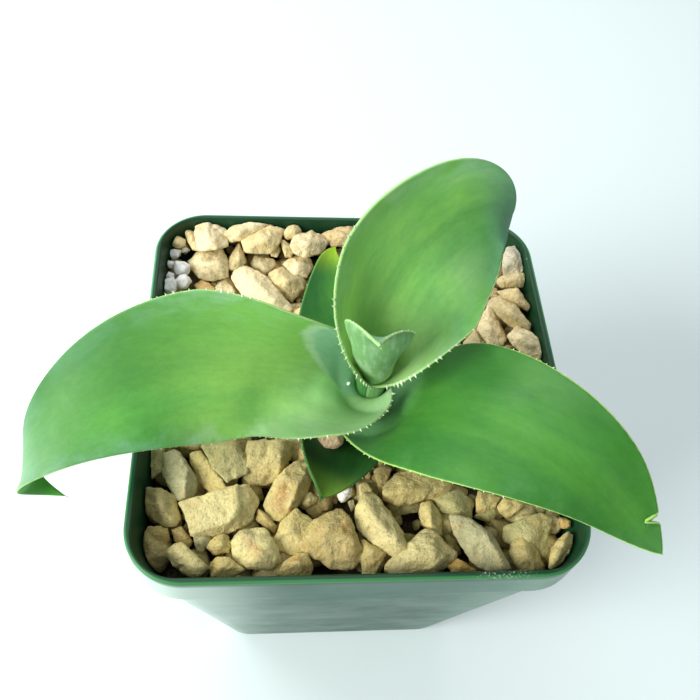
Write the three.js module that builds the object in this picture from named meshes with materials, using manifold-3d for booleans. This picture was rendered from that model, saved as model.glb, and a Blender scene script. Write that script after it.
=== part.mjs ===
// Potted octopus agave: a young rosette of six leaves in a square nursery pot with a gravel top dressing.
// Millimetres, +Z up. The origin is the centre of the pot's bottom; +X is to the right, +Y to the back.
import * as THREE from "three";
import { mergeVertices } from "three/addons/utils/BufferGeometryUtils.js";
import Module from "manifold-3d";

const wasm = await Module();
wasm.setup();

// Pot: a 3.5 inch square nursery pot. Below the collar its wall is thinner and steps in.
const RIM_WIDTH = 89;
const RIM_CORNER = 11.5;
const RIM_LIP = 1.4;
const RIM_ROUND = 0.4;
const POT_HEIGHT = 88;
const BASE_WIDTH = 64.5;
const BASE_CORNER = 9;
const BASE_ROUND = 1;
const WALL = 1.4;
const FLOOR = 1.8;
const TIGHTEST_CORNER = 1;
const COLLAR_HEIGHT = 9;
const COLLAR_STEP = 1.1;
const CORNER_STEPS = 6;
const DRAIN_RADIUS = 4.5;
const DRAIN_OFFSET = 20;
const DRAIN_SIDES = 16;

// Fill: gap is the clearance that neighbouring pieces keep.
const GAP = 0.3;
const WELD = 1e-4;
const SOIL_TOP = POT_HEIGHT - 15;
const GRAVEL_BED_TOP = POT_HEIGHT - 9.6;
const STONE_ROOM_TOP = POT_HEIGHT + 6;
const LEAST_LEVEL = 0.01;

// Plant axis and stem. The leaves' feet stand on top of the stem.
const AXIS = { x: 3, y: -6 };
const LEAF_FOOT = POT_HEIGHT - 8.5;
const STEM_TOP_RADIUS = 6.9;
const STEM_ROOT_RADIUS = 4.5;
const STEM_LENGTH = 17;
const STEM_SIDES = 24;

// Leaf blades: thinnest at the margin and tip, thickest along the middle of the blade.
const MARGIN_THICKNESS = 0.6;
const SWELL_FROM = 0.1;
const SWELL_FULL = 0.4;
const TOOTH_HEIGHT = 0.7;
const TOOTH_HALF_WIDTH = 0.35;
const TOOTH_LEAN = 0.2;
const TOOTH_MOST_SHARE = 0.45;
const SPINE_LENGTH = 1.2;
const MIDRIB_STEPS = 240;
const TIP_CROWDING = 1.3;
const BASE_EASE = 1.5;

// Stones: broken pebbles with flat faces. STONE_MIDDLE is the height of a large stone's middle.
const STONE_FACES = 13;
const STONE_SHORTEST_REACH = 0.74;
const STONE_CORNER_REACH = 1.22;
const STONE_LEAST_FACING = 0.1;
const STONE_SHAKE = 0.9;
const STONE_TILT = 10;
const STONE_FLATTEST = 0.8;
const STONE_FULLER = 0.25;
const STONE_TALLEST = 9;
const LARGE_STONE = 9;
const GOLDEN_ANGLE = 2.39996;
const STONE_MIDDLE = POT_HEIGHT - 8;
const DEEPEST_MIDDLE = GRAVEL_BED_TOP - 3;
const SINK_STEP = 0.6;

// Smaller stones between them: least size, how much a draw adds to it, and where none may lie.
const FILLER_PITCH = 8.4;
const FILLER_MIDDLE = POT_HEIGHT - 9;
const FILLER_REACH = 45;
const FILLER_LENGTH = { least: 7.5, more: 3 };
const FILLER_WIDTH = { least: 6, more: 2 };
const FILLER_WALL_ROOM = 1.6;
const FILLER_STEM_ROOM = 2;
const FILLER_CORNER_REACH = 54;
const COVERED_SHARE = 0.32;
const PERLITE_CORNER = { x: -33, y: 22 };

// First seed of each run of draws.
const FILLER_SEED = 7;
const LARGE_SEED = 100;
const SMALL_SEED = 300;
const GRAIN_SEED = 900;

const rad = THREE.MathUtils.degToRad;
const clamp01 = (v) => Math.min(1, Math.max(0, v));
const smooth = (v) => clamp01(v) ** 2 * (3 - 2 * clamp01(v));

// Leaves, from the heart outwards. Angles are in degrees and run from the base (s = 0) to the tip (s = 1).
// heading is the midrib's compass direction, rise its slope, and roll the blade's turn about the midrib.
// hook is added past hookFrom, and collar is the value at the very base, which fades out over collarLength.
// cup is half the angle that the blade's section bends through. baseRadius is the sheath's own radius.
// teeth gives, for the right and the left margin, where along the blade its teeth begin and end.
const LEAVES = {
  leaf_centre: {
    heading: { start: -105.5, linear: -32.2, square: 19.5, hook: 41.5 },
    rise: { start: 58.6, end: 87.2, power: 1.08, hook: -65.2, collar: 88.9 },
    roll: { start: 9.4, linear: 50.8, square: -62.3, hook: -15.6, collar: 24.8 },
    collarLength: 0.15, hookFrom: 0.63, length: 36.2,
    halfWidth: 6.63, widestAt: 0.76, taper: 1.45, fullness: 1.26,
    cup: { base: 78, middle: 52, tip: 52.3, length: 0.28 },
    baseRadius: 1.75, baseHeight: 9.36, thickness: 1.0,
    rows: 15, columns: 8, teeth: { right: [0.45, 0.9], left: [0.45, 0.9] }, colour: 0x7fb089,
  },
  leaf_back: {
    heading: { start: 70.9, linear: -65.2, square: 3.4, hook: -12.5 },
    rise: { start: 126.6, end: 13.5, power: 0.69, hook: -80.2, collar: 79.9 },
    roll: { start: 26.3, linear: 30.8, square: -26.2, hook: -11.7, collar: 2 },
    collarLength: 0.15, hookFrom: 0.74, length: 48.87,
    halfWidth: 15.92, widestAt: 0.54, taper: 1.13, fullness: 0.44,
    cup: { base: 171.9, middle: 60.1, tip: 20.2, length: 0.67 },
    baseRadius: 3.0, baseHeight: 9.91, thickness: 1.4,
    rows: 22, columns: 12, teeth: { right: [0.22, 0.75], left: [0.22, 0.75] }, colour: 0x74b65a,
  },
  leaf_left: {
    heading: { start: 179.7, linear: 5.9, square: 47.7, hook: -70.5 },
    rise: { start: 38.3, end: -57.1, power: 0.98, hook: -108.4, collar: 76.2 },
    roll: { start: -76, linear: -13.6, square: 155, hook: -16.1, collar: 30.2 },
    collarLength: 0.28, hookFrom: 0.67, length: 92.5,
    halfWidth: 15.78, widestAt: 0.38, taper: 1.1, fullness: 0.96,
    cup: { base: 132.5, middle: 4, tip: 3, length: 0.45 },
    baseRadius: 4.76, baseHeight: 2.61, thickness: 1.6,
    trim: { part: 0.62, length: 0.19 },
    rows: 32, columns: 10, teeth: { right: [0.3, 0.8], left: [0.03, 0.8] }, colour: 0x77ba5c,
  },
  leaf_right: {
    heading: { start: -45.2, linear: 28.6, square: -19.2, hook: -18.5 },
    rise: { start: 72.3, end: -78.6, power: 1.56, hook: 67.8, collar: 85.4 },
    roll: { start: -7.6, linear: 86.7, square: -34.4, hook: -21.4, collar: -7.4 },
    collarLength: 0.19, hookFrom: 0.74, length: 74.7,
    halfWidth: 13.6, widestAt: 0.37, taper: 1.64, fullness: 0.78,
    cup: { base: 109.5, middle: 15, tip: 22.2, length: 0.27 },
    baseRadius: 6.03, baseHeight: -6.71, thickness: 1.6,
    rows: 28, columns: 8, teeth: { right: [0.12, 0.8], left: [0.12, 0.8] }, colour: 0x4f9a45,
  },
  leaf_small_front: {
    heading: { start: -114.1, linear: 4.3, square: 8.8, hook: -16.2 },
    rise: { start: 44.8, end: -2.2, power: 1.23, hook: -26.2, collar: 81.8 },
    roll: { start: 2.3, linear: -13.2, square: -14.1, hook: -16.8, collar: -16.3 },
    collarLength: 0.28, hookFrom: 0.82, length: 21.86,
    halfWidth: 9.61, widestAt: 0.21, taper: 2.18, fullness: 0.79,
    cup: { base: 60.3, middle: 29.6, tip: 30.8, length: 0.34 },
    baseRadius: 7.35, baseHeight: -6.72, thickness: 1.2,
    rows: 12, columns: 8, teeth: { right: [0.2, 0.8], left: [0.2, 0.8] }, colour: 0x256f36,
  },
  leaf_small_back: {
    heading: { start: 106.2, linear: -15.5, square: -0.8, hook: -35.9 },
    rise: { start: 24.5, end: -7.1, power: 1.23, hook: -9.8, collar: 83.3 },
    roll: { start: -9.8, linear: 17.5, square: 17.2, hook: -16.9, collar: 4.6 },
    collarLength: 0.19, hookFrom: 0.76, length: 38.1,
    halfWidth: 11.26, widestAt: 0.33, taper: 1.1, fullness: 0.93,
    cup: { base: 51.3, middle: 24, tip: 21.5, length: 0.44 },
    baseRadius: 7.45, baseHeight: -8.01, thickness: 1.3,
    rows: 16, columns: 8, teeth: { right: [0.2, 0.8], left: [0.2, 0.8] }, colour: 0x2a753c,
  },
};

// The larger stones that show round the leaves: middle, length, width and turn, each a real size.
const STONES = [
  // Front left corner.
  { x: -28, y: -29, length: 14, width: 8.5, turn: 12 },
  { x: -35, y: -21, length: 11, width: 5.5, turn: -59 },
  { x: -38, y: -27, length: 8, width: 6, turn: -22 },
  { x: -27, y: -19, length: 11, width: 8, turn: 22 },
  { x: -19, y: -18, length: 9, width: 8, turn: 63 },
  { x: -14, y: -25, length: 12, width: 6.5, turn: 52 },
  { x: -20, y: -36, length: 9, width: 8, turn: 0 },
  { x: -27, y: -35, length: 6, width: 5, turn: 0 },
  { x: -33, y: -38, length: 9, width: 5, turn: -29 },
  { x: -25, y: -40, length: 7, width: 4.5, turn: -11 },
  { x: -39, y: -33, length: 6, width: 6, turn: 0 },
  { x: -34, y: -33, length: 5, width: 4, turn: -21 },
  // Front middle.
  { x: -13, y: -33, length: 8, width: 7, turn: -62 },
  { x: -6, y: -35, length: 12.5, width: 11, turn: 19 },
  { x: 3, y: -32, length: 15, width: 7.5, turn: -52 },
  { x: -13, y: -39, length: 7, width: 4.5, turn: 9 },
  { x: 13, y: -38, length: 14, width: 8, turn: 23 },
  { x: 12, y: -24, length: 13, width: 6, turn: 4 },
  { x: 19, y: -28, length: 8, width: 6, turn: -17 },
  { x: 14, y: -30, length: 5.5, width: 5, turn: -86 },
  // Front right corner.
  { x: 23, y: -36, length: 15, width: 7.5, turn: -54 },
  { x: 32, y: -38, length: 8, width: 6, turn: 0 },
  { x: 33, y: -33, length: 10, width: 7, turn: 9 },
  { x: 39, y: -37, length: 7, width: 6, turn: 52 },
  { x: 26, y: -28, length: 6, width: 5, turn: 0 },
  { x: 32, y: -28, length: 6, width: 4.5, turn: -23 },
  { x: 19, y: -40.5, length: 6, width: 4, turn: -6 },
  // Back left.
  { x: -33, y: 41, length: 7.5, width: 9, turn: 0 },
  { x: -33, y: 33, length: 9, width: 10, turn: 0 },
  { x: -24, y: 42, length: 12, width: 6, turn: 15 },
  { x: -19, y: 40, length: 10, width: 7, turn: 8 },
  { x: -20, y: 34, length: 7, width: 5, turn: 0 },
  { x: -26, y: 35, length: 5, width: 7, turn: 0 },
  { x: -20, y: 26, length: 15, width: 11, turn: -41 },
  { x: -12, y: 30, length: 11, width: 10, turn: -47 },
  { x: -8, y: 39, length: 8, width: 8, turn: 0 },
  { x: -13, y: 41, length: 6, width: 8, turn: 0 },
  // Right side.
  { x: 38, y: 36, length: 7, width: 8, turn: 0 },
  { x: 38, y: 29, length: 7, width: 5, turn: 0 },
  { x: 39, y: 24, length: 5.5, width: 5, turn: 0 },
  { x: 37, y: 19, length: 8, width: 8, turn: -25 },
  { x: 33, y: 16, length: 7, width: 8, turn: -71 },
  { x: 37.5, y: 12, length: 9, width: 7, turn: -25 },
  { x: 38, y: 5, length: 5, width: 5, turn: 0 },
];

// White grains of perlite, heaped in the back left corner.
const GRAINS = [
  { x: -38.5, y: 37.5, size: 4.6 },
  { x: -36.0, y: 35.8, size: 3.2 },
  { x: -38.0, y: 34.2, size: 3.8 },
  { x: -37.2, y: 31.2, size: 5.2 },
  { x: -38.8, y: 29.0, size: 3.8 },
  { x: -36.8, y: 27.6, size: 3.8 },
  { x: -38.4, y: 25.6, size: 4.8 },
];
const GRAIN_MIDDLE = GRAVEL_BED_TOP + 1.6;
const GRAIN_LIFT = 0.25;
const GRAIN_WIDTH = 0.9;
const GRAIN_TURN = 50;

const COLOURS = { pot: 0x1f4d33, soil: 0x2c2118, gravel: 0xc9ab78, perlite: 0xe9e7e2, stem: 0x9db67c };
const ROUGHNESS = { pot: 0.45, soil: 0.95, gravel: 0.85, perlite: 0.8, stem: 0.7, leaf: 0.5 };

// Returns a function that gives the same run of draws from 0 to 1 for the same seed.
function seededDraws(seed) {
  let state = seed >>> 0;
  return () => {
    state = (state + 0x6d2b79f5) >>> 0;
    let mixed = Math.imul(state ^ (state >>> 15), state | 1);
    mixed ^= mixed + Math.imul(mixed ^ (mixed >>> 7), mixed | 61);
    return ((mixed ^ (mixed >>> 14)) >>> 0) / 4294967296;
  };
}

// Turns a closed geometry into a solid that can be joined and cut.
function solidOf(geometry) {
  const bare = new THREE.BufferGeometry();
  bare.setAttribute("position", geometry.getAttribute("position").clone());
  if (geometry.index) bare.setIndex(geometry.index.clone());
  const merged = mergeVertices(bare, WELD);
  const vertProperties = new Float32Array(merged.getAttribute("position").array);
  const triVerts = new Uint32Array(merged.index.array);
  return new wasm.Manifold(new wasm.Mesh({ numProp: 3, vertProperties, triVerts }));
}

// Turns a solid back into a geometry.
function geometryOf(solid) {
  const { vertProperties, triVerts } = solid.getMesh();
  const geometry = new THREE.BufferGeometry();
  geometry.setAttribute("position", new THREE.BufferAttribute(new Float32Array(vertProperties), 3));
  geometry.setIndex(new THREE.BufferAttribute(new Uint32Array(triVerts), 1));
  geometry.computeVertexNormals();
  return geometry;
}

// Keeps a solid's largest body, which drops loose scraps and fills hollows that are sealed all round.
function wholeBody(solid) {
  return solid.decompose().reduce((best, piece) => (piece.volume() > best.volume() ? piece : best));
}

function geometryFrom(points, triangles) {
  const geometry = new THREE.BufferGeometry();
  geometry.setFromPoints(points);
  geometry.setIndex(triangles);
  geometry.computeVertexNormals();
  return geometry;
}

// One level of a square loft: a square with round corners, counter-clockwise, at a height.
function squareRing(width, corner, height) {
  const ring = [];
  const straight = width / 2 - corner;
  for (let quarter = 0; quarter < 4; quarter += 1) {
    const middle = new THREE.Vector2(straight, straight).rotateAround(new THREE.Vector2(), rad(90 * quarter));
    for (let step = 0; step <= CORNER_STEPS; step += 1) {
      const turn = rad(90 * (quarter + step / CORNER_STEPS));
      ring.push(new THREE.Vector3(middle.x + corner * Math.cos(turn), middle.y + corner * Math.sin(turn), height));
    }
  }
  return ring;
}

// A closed body through a list of rings, with a flat fan over the first ring and the last.
function squareLoft(rings) {
  const count = rings[0].length;
  const points = rings.flat();
  const first = points.push(new THREE.Vector3(0, 0, rings[0][0].z)) - 1;
  const last = points.push(new THREE.Vector3(0, 0, rings[rings.length - 1][0].z)) - 1;
  const top = (rings.length - 1) * count;
  const triangles = [];
  for (let k = 0; k < count; k += 1) {
    const next = (k + 1) % count;
    triangles.push(first, next, k);
    for (let level = 0; level < top; level += count) {
      triangles.push(level + k, level + next, level + count + next);
      triangles.push(level + k, level + count + next, level + count + k);
    }
    triangles.push(last, top + k, top + next);
  }
  return solidOf(geometryFrom(points, triangles));
}

// Width and corner radius of the pot's outer wall below the collar, at a height.
function wallAt(height) {
  const collarFoot = POT_HEIGHT - COLLAR_HEIGHT;
  const share = height / collarFoot;
  return {
    width: THREE.MathUtils.lerp(BASE_WIDTH, RIM_WIDTH - 2 * COLLAR_STEP, share),
    corner: THREE.MathUtils.lerp(BASE_CORNER, RIM_CORNER - COLLAR_STEP, share),
  };
}

// A ring set in from the outer wall by a distance; above the collar's foot it follows the rim's inner face.
function insideRing(height, inset) {
  const wall = wallAt(Math.min(height, POT_HEIGHT - COLLAR_HEIGHT));
  const widest = RIM_WIDTH - 2 * RIM_LIP - 2 * (inset - WALL);
  const above = Math.max(0, height - (POT_HEIGHT - COLLAR_HEIGHT)) / COLLAR_HEIGHT;
  const width = THREE.MathUtils.lerp(wall.width - 2 * inset, widest, Math.min(1, above));
  return squareRing(width, Math.max(wall.corner - inset, TIGHTEST_CORNER), height);
}

function outsideRing(height, inset) {
  const wall = wallAt(height);
  return squareRing(wall.width - 2 * inset, wall.corner - inset, height);
}

function collarRing(height, inset) {
  return squareRing(RIM_WIDTH - 2 * inset, RIM_CORNER - inset, height);
}

function uprightCylinder(topRadius, bottomRadius, bottom, top, sides, x, y) {
  const geometry = new THREE.CylinderGeometry(topRadius, bottomRadius, top - bottom, sides);
  geometry.rotateX(Math.PI / 2);
  geometry.translate(x, y, (top + bottom) / 2);
  return solidOf(geometry);
}

function potSolid() {
  const collarFoot = POT_HEIGHT - COLLAR_HEIGHT;
  let pot = squareLoft([
    outsideRing(0, BASE_ROUND),
    outsideRing(BASE_ROUND, 0),
    outsideRing(collarFoot - COLLAR_STEP / 2, 0),
    collarRing(collarFoot, 0),
    collarRing(POT_HEIGHT - RIM_ROUND, 0),
    collarRing(POT_HEIGHT, RIM_ROUND),
    insideRing(POT_HEIGHT, WALL - RIM_ROUND),
    insideRing(POT_HEIGHT - RIM_ROUND, WALL),
    insideRing(collarFoot, WALL),
    insideRing(FLOOR, WALL),
  ]);
  for (const [right, back] of [[1, 1], [-1, 1], [-1, -1], [1, -1]]) {
    const hole = uprightCylinder(
      DRAIN_RADIUS, DRAIN_RADIUS, -1, FLOOR + 1, DRAIN_SIDES, right * DRAIN_OFFSET, back * DRAIN_OFFSET,
    );
    pot = pot.subtract(hole);
  }
  return pot;
}

function stemSolid(clearance) {
  const top = LEAF_FOOT - GAP;
  return uprightCylinder(
    STEM_TOP_RADIUS + clearance, STEM_ROOT_RADIUS + clearance,
    top - STEM_LENGTH - clearance, top + clearance, STEM_SIDES, AXIS.x, AXIS.y,
  );
}

function soilSolid() {
  const levels = [FLOOR + GAP, SOIL_TOP];
  const fill = squareLoft(levels.map((height) => insideRing(height, WALL + GAP)));
  return fill.subtract(stemSolid(GAP));
}

// Midrib direction at s, as three unit vectors: along it, across the blade, and towards the blade's inner face.
function midribFrame(leaf, s) {
  const { heading, rise, roll } = leaf;
  const hook = clamp01((s - leaf.hookFrom) / (1 - leaf.hookFrom)) ** 2;
  const collar = clamp01(1 - s / leaf.collarLength) ** 2;
  const slope = rise.start + (rise.end - rise.start) * s ** rise.power + rise.hook * hook;
  const lean = roll.start + roll.linear * s + roll.square * s * s + roll.hook * hook;
  const yaw = rad(heading.start + heading.linear * s + heading.square * s * s + heading.hook * hook);
  const pitch = rad(THREE.MathUtils.lerp(slope, rise.collar, collar));
  const turn = rad(THREE.MathUtils.lerp(lean, roll.collar, collar));
  const along = new THREE.Vector3(
    Math.cos(pitch) * Math.cos(yaw), Math.cos(pitch) * Math.sin(yaw), Math.sin(pitch),
  );
  const level = new THREE.Vector3(-Math.sin(yaw), Math.cos(yaw), 0);
  return {
    along,
    across: level.clone().applyAxisAngle(along, turn),
    inward: along.clone().cross(level).applyAxisAngle(along, turn),
  };
}

// Half the blade's width along its curved section.
function halfWidthAt(leaf, s) {
  const base = leaf.baseRadius * rad(leaf.cup.base);
  if (s < leaf.widestAt) {
    const share = Math.sin((Math.PI / 2) * (s / leaf.widestAt)) ** BASE_EASE;
    return THREE.MathUtils.lerp(base, leaf.halfWidth, share);
  }
  const past = (s - leaf.widestAt) / (1 - leaf.widestAt);
  return leaf.halfWidth * (1 - past ** leaf.taper) ** leaf.fullness;
}

// Half the angle that the blade's section bends through: a closed sheath at the base, flatter further out.
function cupAt(leaf, s) {
  const { base, middle, tip, length } = leaf.cup;
  return rad(middle + (base - middle) * clamp01(1 - s / length) ** 2 + (tip - middle) * s ** 3);
}

// Places of the midrib from base to tip, found by adding up short steps along its direction.
function midribPoints(leaf) {
  const start = midribFrame(leaf, 0);
  const foot = new THREE.Vector3(AXIS.x, AXIS.y, POT_HEIGHT + leaf.baseHeight);
  const points = [foot.addScaledVector(start.inward, -leaf.baseRadius)];
  for (let step = 0; step < MIDRIB_STEPS; step += 1) {
    const here = midribFrame(leaf, step / MIDRIB_STEPS).along;
    const there = midribFrame(leaf, (step + 1) / MIDRIB_STEPS).along;
    const stride = here.add(there).multiplyScalar(leaf.length / MIDRIB_STEPS / 2);
    points.push(points[step].clone().add(stride));
  }
  return points;
}

// One row of the blade's middle surface: an arc across the midrib, from its right margin to its left.
function bladeRow(leaf, midrib, s) {
  const at = s * MIDRIB_STEPS;
  const below = Math.min(Math.floor(at), MIDRIB_STEPS - 1);
  const centre = midrib[below].clone().lerp(midrib[below + 1], at - below);
  const frame = midribFrame(leaf, s);
  const cup = cupAt(leaf, s);
  const radius = halfWidthAt(leaf, s) / cup;
  const trim = leaf.trim ? 1 - leaf.trim.part * clamp01(1 - s / leaf.trim.length) : 1;
  const row = [];
  for (let column = 0; column <= leaf.columns; column += 1) {
    const t = (2 * column) / leaf.columns - 1;
    const angle = cup * (t < 0 ? t * trim : t);
    const point = centre.clone();
    point.addScaledVector(frame.across, radius * Math.sin(angle));
    point.addScaledVector(frame.inward, radius * (1 - Math.cos(angle)));
    row.push(point);
  }
  return row;
}

function directionAcross(row, column) {
  const last = row.length - 1;
  return row[Math.min(column + 1, last)].clone().sub(row[Math.max(column - 1, 0)]).normalize();
}

// The blade as a closed geometry: two faces made of the same triangles, margins with teeth, a foot and a spine.
// extra makes it fatter and wider all over, to test or cut what must stay clear of it.
function bladeGeometry(leaf, extra = 0) {
  const midrib = midribPoints(leaf);
  const places = [0];
  const rows = [bladeRow(leaf, midrib, 0).map((point) => point.setZ(LEAF_FOOT - extra))];
  for (let row = 0; row < leaf.rows; row += 1) {
    const s = 1 - (1 - row / leaf.rows) ** TIP_CROWDING;
    places.push(s);
    rows.push(bladeRow(leaf, midrib, s));
  }
  const width = leaf.columns + 1;
  const inner = [];
  const outer = [];
  rows.forEach((row, level) => {
    row.forEach((point, column) => {
      const before = rows[Math.max(level - 1, 0)][column];
      const after = rows[Math.min(level + 1, rows.length - 1)][column];
      const across = directionAcross(row, column);
      const normal = after.clone().sub(before).cross(across).normalize();
      const t = (2 * column) / leaf.columns - 1;
      const swell = smooth((places[level] - SWELL_FROM) / (SWELL_FULL - SWELL_FROM)) * (1 - places[level] ** 4);
      const half = (MARGIN_THICKNESS + (leaf.thickness - MARGIN_THICKNESS) * (1 - t * t) * swell) / 2 + extra;
      const side = column === 0 ? -extra : column === leaf.columns ? extra : 0;
      const middle = point.clone().addScaledVector(across, side);
      inner.push(middle.clone().addScaledVector(normal, half));
      outer.push(middle.clone().addScaledVector(normal, -half));
    });
  });
  const points = [...inner, ...outer];
  const faces = [];
  const away = inner.length;
  const last = (rows.length - 1) * width;
  const spine = midrib[MIDRIB_STEPS].clone().addScaledVector(midribFrame(leaf, 1).along, SPINE_LENGTH + extra);
  const tip = points.push(spine) - 1;

  const bothFaces = (a, b, c) => {
    faces.push(a, b, c);
    faces.push(c + (c < tip ? away : 0), b + (b < tip ? away : 0), a + (a < tip ? away : 0));
  };
  const quad = (a, b, c, d) => faces.push(a, b, c, a, c, d);

  // Where the margin carries a tooth, its corners are pairs of points on the inner and the outer face.
  const toothCorners = (lower, upper) => {
    const length = points[lower].distanceTo(points[upper]);
    const share = Math.min(TOOTH_HALF_WIDTH / length, TOOTH_MOST_SHARE);
    return [0.5 - share, 0.5 + share].map((at) => {
      const onInner = points.push(points[lower].clone().lerp(points[upper], at)) - 1;
      points.push(points[lower + away].clone().lerp(points[upper + away], at));
      return onInner;
    });
  };

  for (let level = 0; level + 1 < rows.length; level += 1) {
    for (let column = 0; column < leaf.columns; column += 1) {
      const a = level * width + column;
      const [b, c, d] = [a + width, a + width + 1, a + 1];
      const right = column === 0;
      const left = column === leaf.columns - 1;
      if (!right && !left) {
        bothFaces(a, b, c);
        bothFaces(a, c, d);
        continue;
      }
      const [low, high] = right ? [a, b] : [d, c];
      const [from, to] = right ? leaf.teeth.right : leaf.teeth.left;
      const toothed = level > 0 && places[level] >= from && places[level] <= to;
      if (!toothed) {
        bothFaces(a, b, c);
        bothFaces(a, c, d);
        if (right) quad(high, low, low + away, high + away);
        else quad(low, high, high + away, low + away);
        continue;
      }
      const [p, q] = toothCorners(low, high);
      const [pOuter, qOuter] = [p + 1, q + 1];
      const outward = directionAcross(rows[level], right ? 0 : leaf.columns).multiplyScalar(right ? -1 : 1);
      const along = points[high].clone().sub(points[low]).normalize();
      const apexPlace = points[p].clone().add(points[qOuter]).multiplyScalar(0.5);
      apexPlace.addScaledVector(outward, TOOTH_HEIGHT).addScaledVector(along, TOOTH_LEAN);
      const apex = points.push(apexPlace) - 1;
      const fan = right ? [c, d, a, p, q, b] : [a, b, c, q, p, d];
      for (let k = 1; k + 1 < fan.length; k += 1) {
        const corner = [fan[0], fan[k], fan[k + 1]];
        const opposite = corner.map((index) => (index === p ? pOuter : index === q ? qOuter : index + away));
        faces.push(...corner, opposite[2], opposite[1], opposite[0]);
      }
      const [lowOuter, highOuter] = [low + away, high + away];
      if (right) {
        quad(p, low, lowOuter, pOuter);
        quad(high, q, qOuter, highOuter);
        faces.push(q, p, apex, p, pOuter, apex, pOuter, qOuter, apex, qOuter, q, apex);
      } else {
        quad(low, p, pOuter, lowOuter);
        quad(q, high, highOuter, qOuter);
        faces.push(p, q, apex, q, qOuter, apex, qOuter, pOuter, apex, pOuter, p, apex);
      }
    }
  }
  for (let column = 0; column < leaf.columns; column += 1) {
    quad(column, column + 1, column + 1 + away, column + away);
    bothFaces(last + column, tip, last + column + 1);
  }
  faces.push(tip, last, last + away);
  faces.push(tip, last + leaf.columns + away, last + leaf.columns);
  return geometryFrom(points, faces);
}

// A stone: a ball cut by a ring of random flat faces, then stretched to its length, width and height.
function stoneSolid(stone, middle, seed, detail) {
  const draw = seededDraws(seed);
  const cuts = [];
  for (let face = 0; face < STONE_FACES; face += 1) {
    const up = (2 * (face + 0.5)) / STONE_FACES - 1;
    const around = face * GOLDEN_ANGLE + draw() * STONE_SHAKE;
    const level = Math.sqrt(1 - up * up);
    const reach = THREE.MathUtils.lerp(STONE_SHORTEST_REACH, 1, draw());
    cuts.push({ normal: new THREE.Vector3(level * Math.cos(around), level * Math.sin(around), up), reach });
  }
  const geometry = new THREE.IcosahedronGeometry(1, detail);
  const position = geometry.getAttribute("position");
  const corner = new THREE.Vector3();
  for (let k = 0; k < position.count; k += 1) {
    corner.fromBufferAttribute(position, k).normalize();
    let reach = STONE_CORNER_REACH;
    for (const cut of cuts) {
      const facing = corner.dot(cut.normal);
      if (facing > STONE_LEAST_FACING) reach = Math.min(reach, cut.reach / facing);
    }
    corner.multiplyScalar(reach);
    position.setXYZ(k, corner.x, corner.y, corner.z);
  }
  const flatness = STONE_FLATTEST + STONE_FULLER * draw();
  const height = Math.min(Math.min(stone.length, stone.width) * flatness, STONE_TALLEST);
  geometry.scale(stone.length / 2, stone.width / 2, height / 2);
  geometry.rotateY(rad(STONE_TILT * (draw() - 0.5)));
  geometry.rotateZ(rad(stone.turn));
  geometry.translate(stone.x, stone.y, middle);
  return solidOf(geometry);
}

// Small stones between the large ones: one to each square of a grid, shaken from its middle.
function fillerStones() {
  const stones = [];
  const draw = seededDraws(FILLER_SEED);
  for (let x = -FILLER_REACH; x <= FILLER_REACH; x += FILLER_PITCH) {
    for (let y = -FILLER_REACH; y <= FILLER_REACH; y += FILLER_PITCH) {
      const stone = {
        x: x + FILLER_PITCH * (draw() - 0.5),
        y: y + FILLER_PITCH * (draw() - 0.5),
        length: FILLER_LENGTH.least + FILLER_LENGTH.more * draw(),
        width: FILLER_WIDTH.least + FILLER_WIDTH.more * draw(),
        turn: 180 * draw(),
      };
      const covered = STONES.some((large) => {
        const reach = COVERED_SHARE * (large.length + large.width);
        return Math.hypot(stone.x - large.x, stone.y - large.y) < reach;
      });
      const furthest = RIM_WIDTH / 2 - RIM_LIP - FILLER_WALL_ROOM;
      const inWall = Math.max(Math.abs(stone.x), Math.abs(stone.y)) > furthest;
      const inCorner = Math.hypot(stone.x, stone.y) > FILLER_CORNER_REACH;
      const stemRoom = STEM_TOP_RADIUS + FILLER_STEM_ROOM;
      const atStem = Math.hypot(stone.x - AXIS.x, stone.y - AXIS.y) < stemRoom;
      const inPerlite = stone.x < PERLITE_CORNER.x && stone.y > PERLITE_CORNER.y;
      if (!covered && !inWall && !inCorner && !atStem && !inPerlite) stones.push(stone);
    }
  }
  return stones;
}

function perliteSolid() {
  const room = stoneRoom(GRAVEL_BED_TOP + GAP);
  let heap = null;
  GRAINS.forEach((grain, index) => {
    const round = { ...grain, length: grain.size, width: grain.size * GRAIN_WIDTH, turn: GRAIN_TURN * index };
    const solid = stoneSolid(round, GRAIN_MIDDLE + GRAIN_LIFT * grain.size, GRAIN_SEED + index, 0);
    heap = heap ? heap.add(solid) : solid;
  });
  return wholeBody(heap.intersect(room));
}

// The space inside the pot from a height up, a gap clear of its wall, and open above the rim.
function stoneRoom(bottom) {
  const levels = [bottom, POT_HEIGHT - COLLAR_HEIGHT, POT_HEIGHT, STONE_ROOM_TOP];
  const heights = levels.filter((height, index) => index === 0 || height > bottom + LEAST_LEVEL);
  return squareLoft(heights.map((height) => insideRing(height, WALL + GAP)));
}

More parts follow.
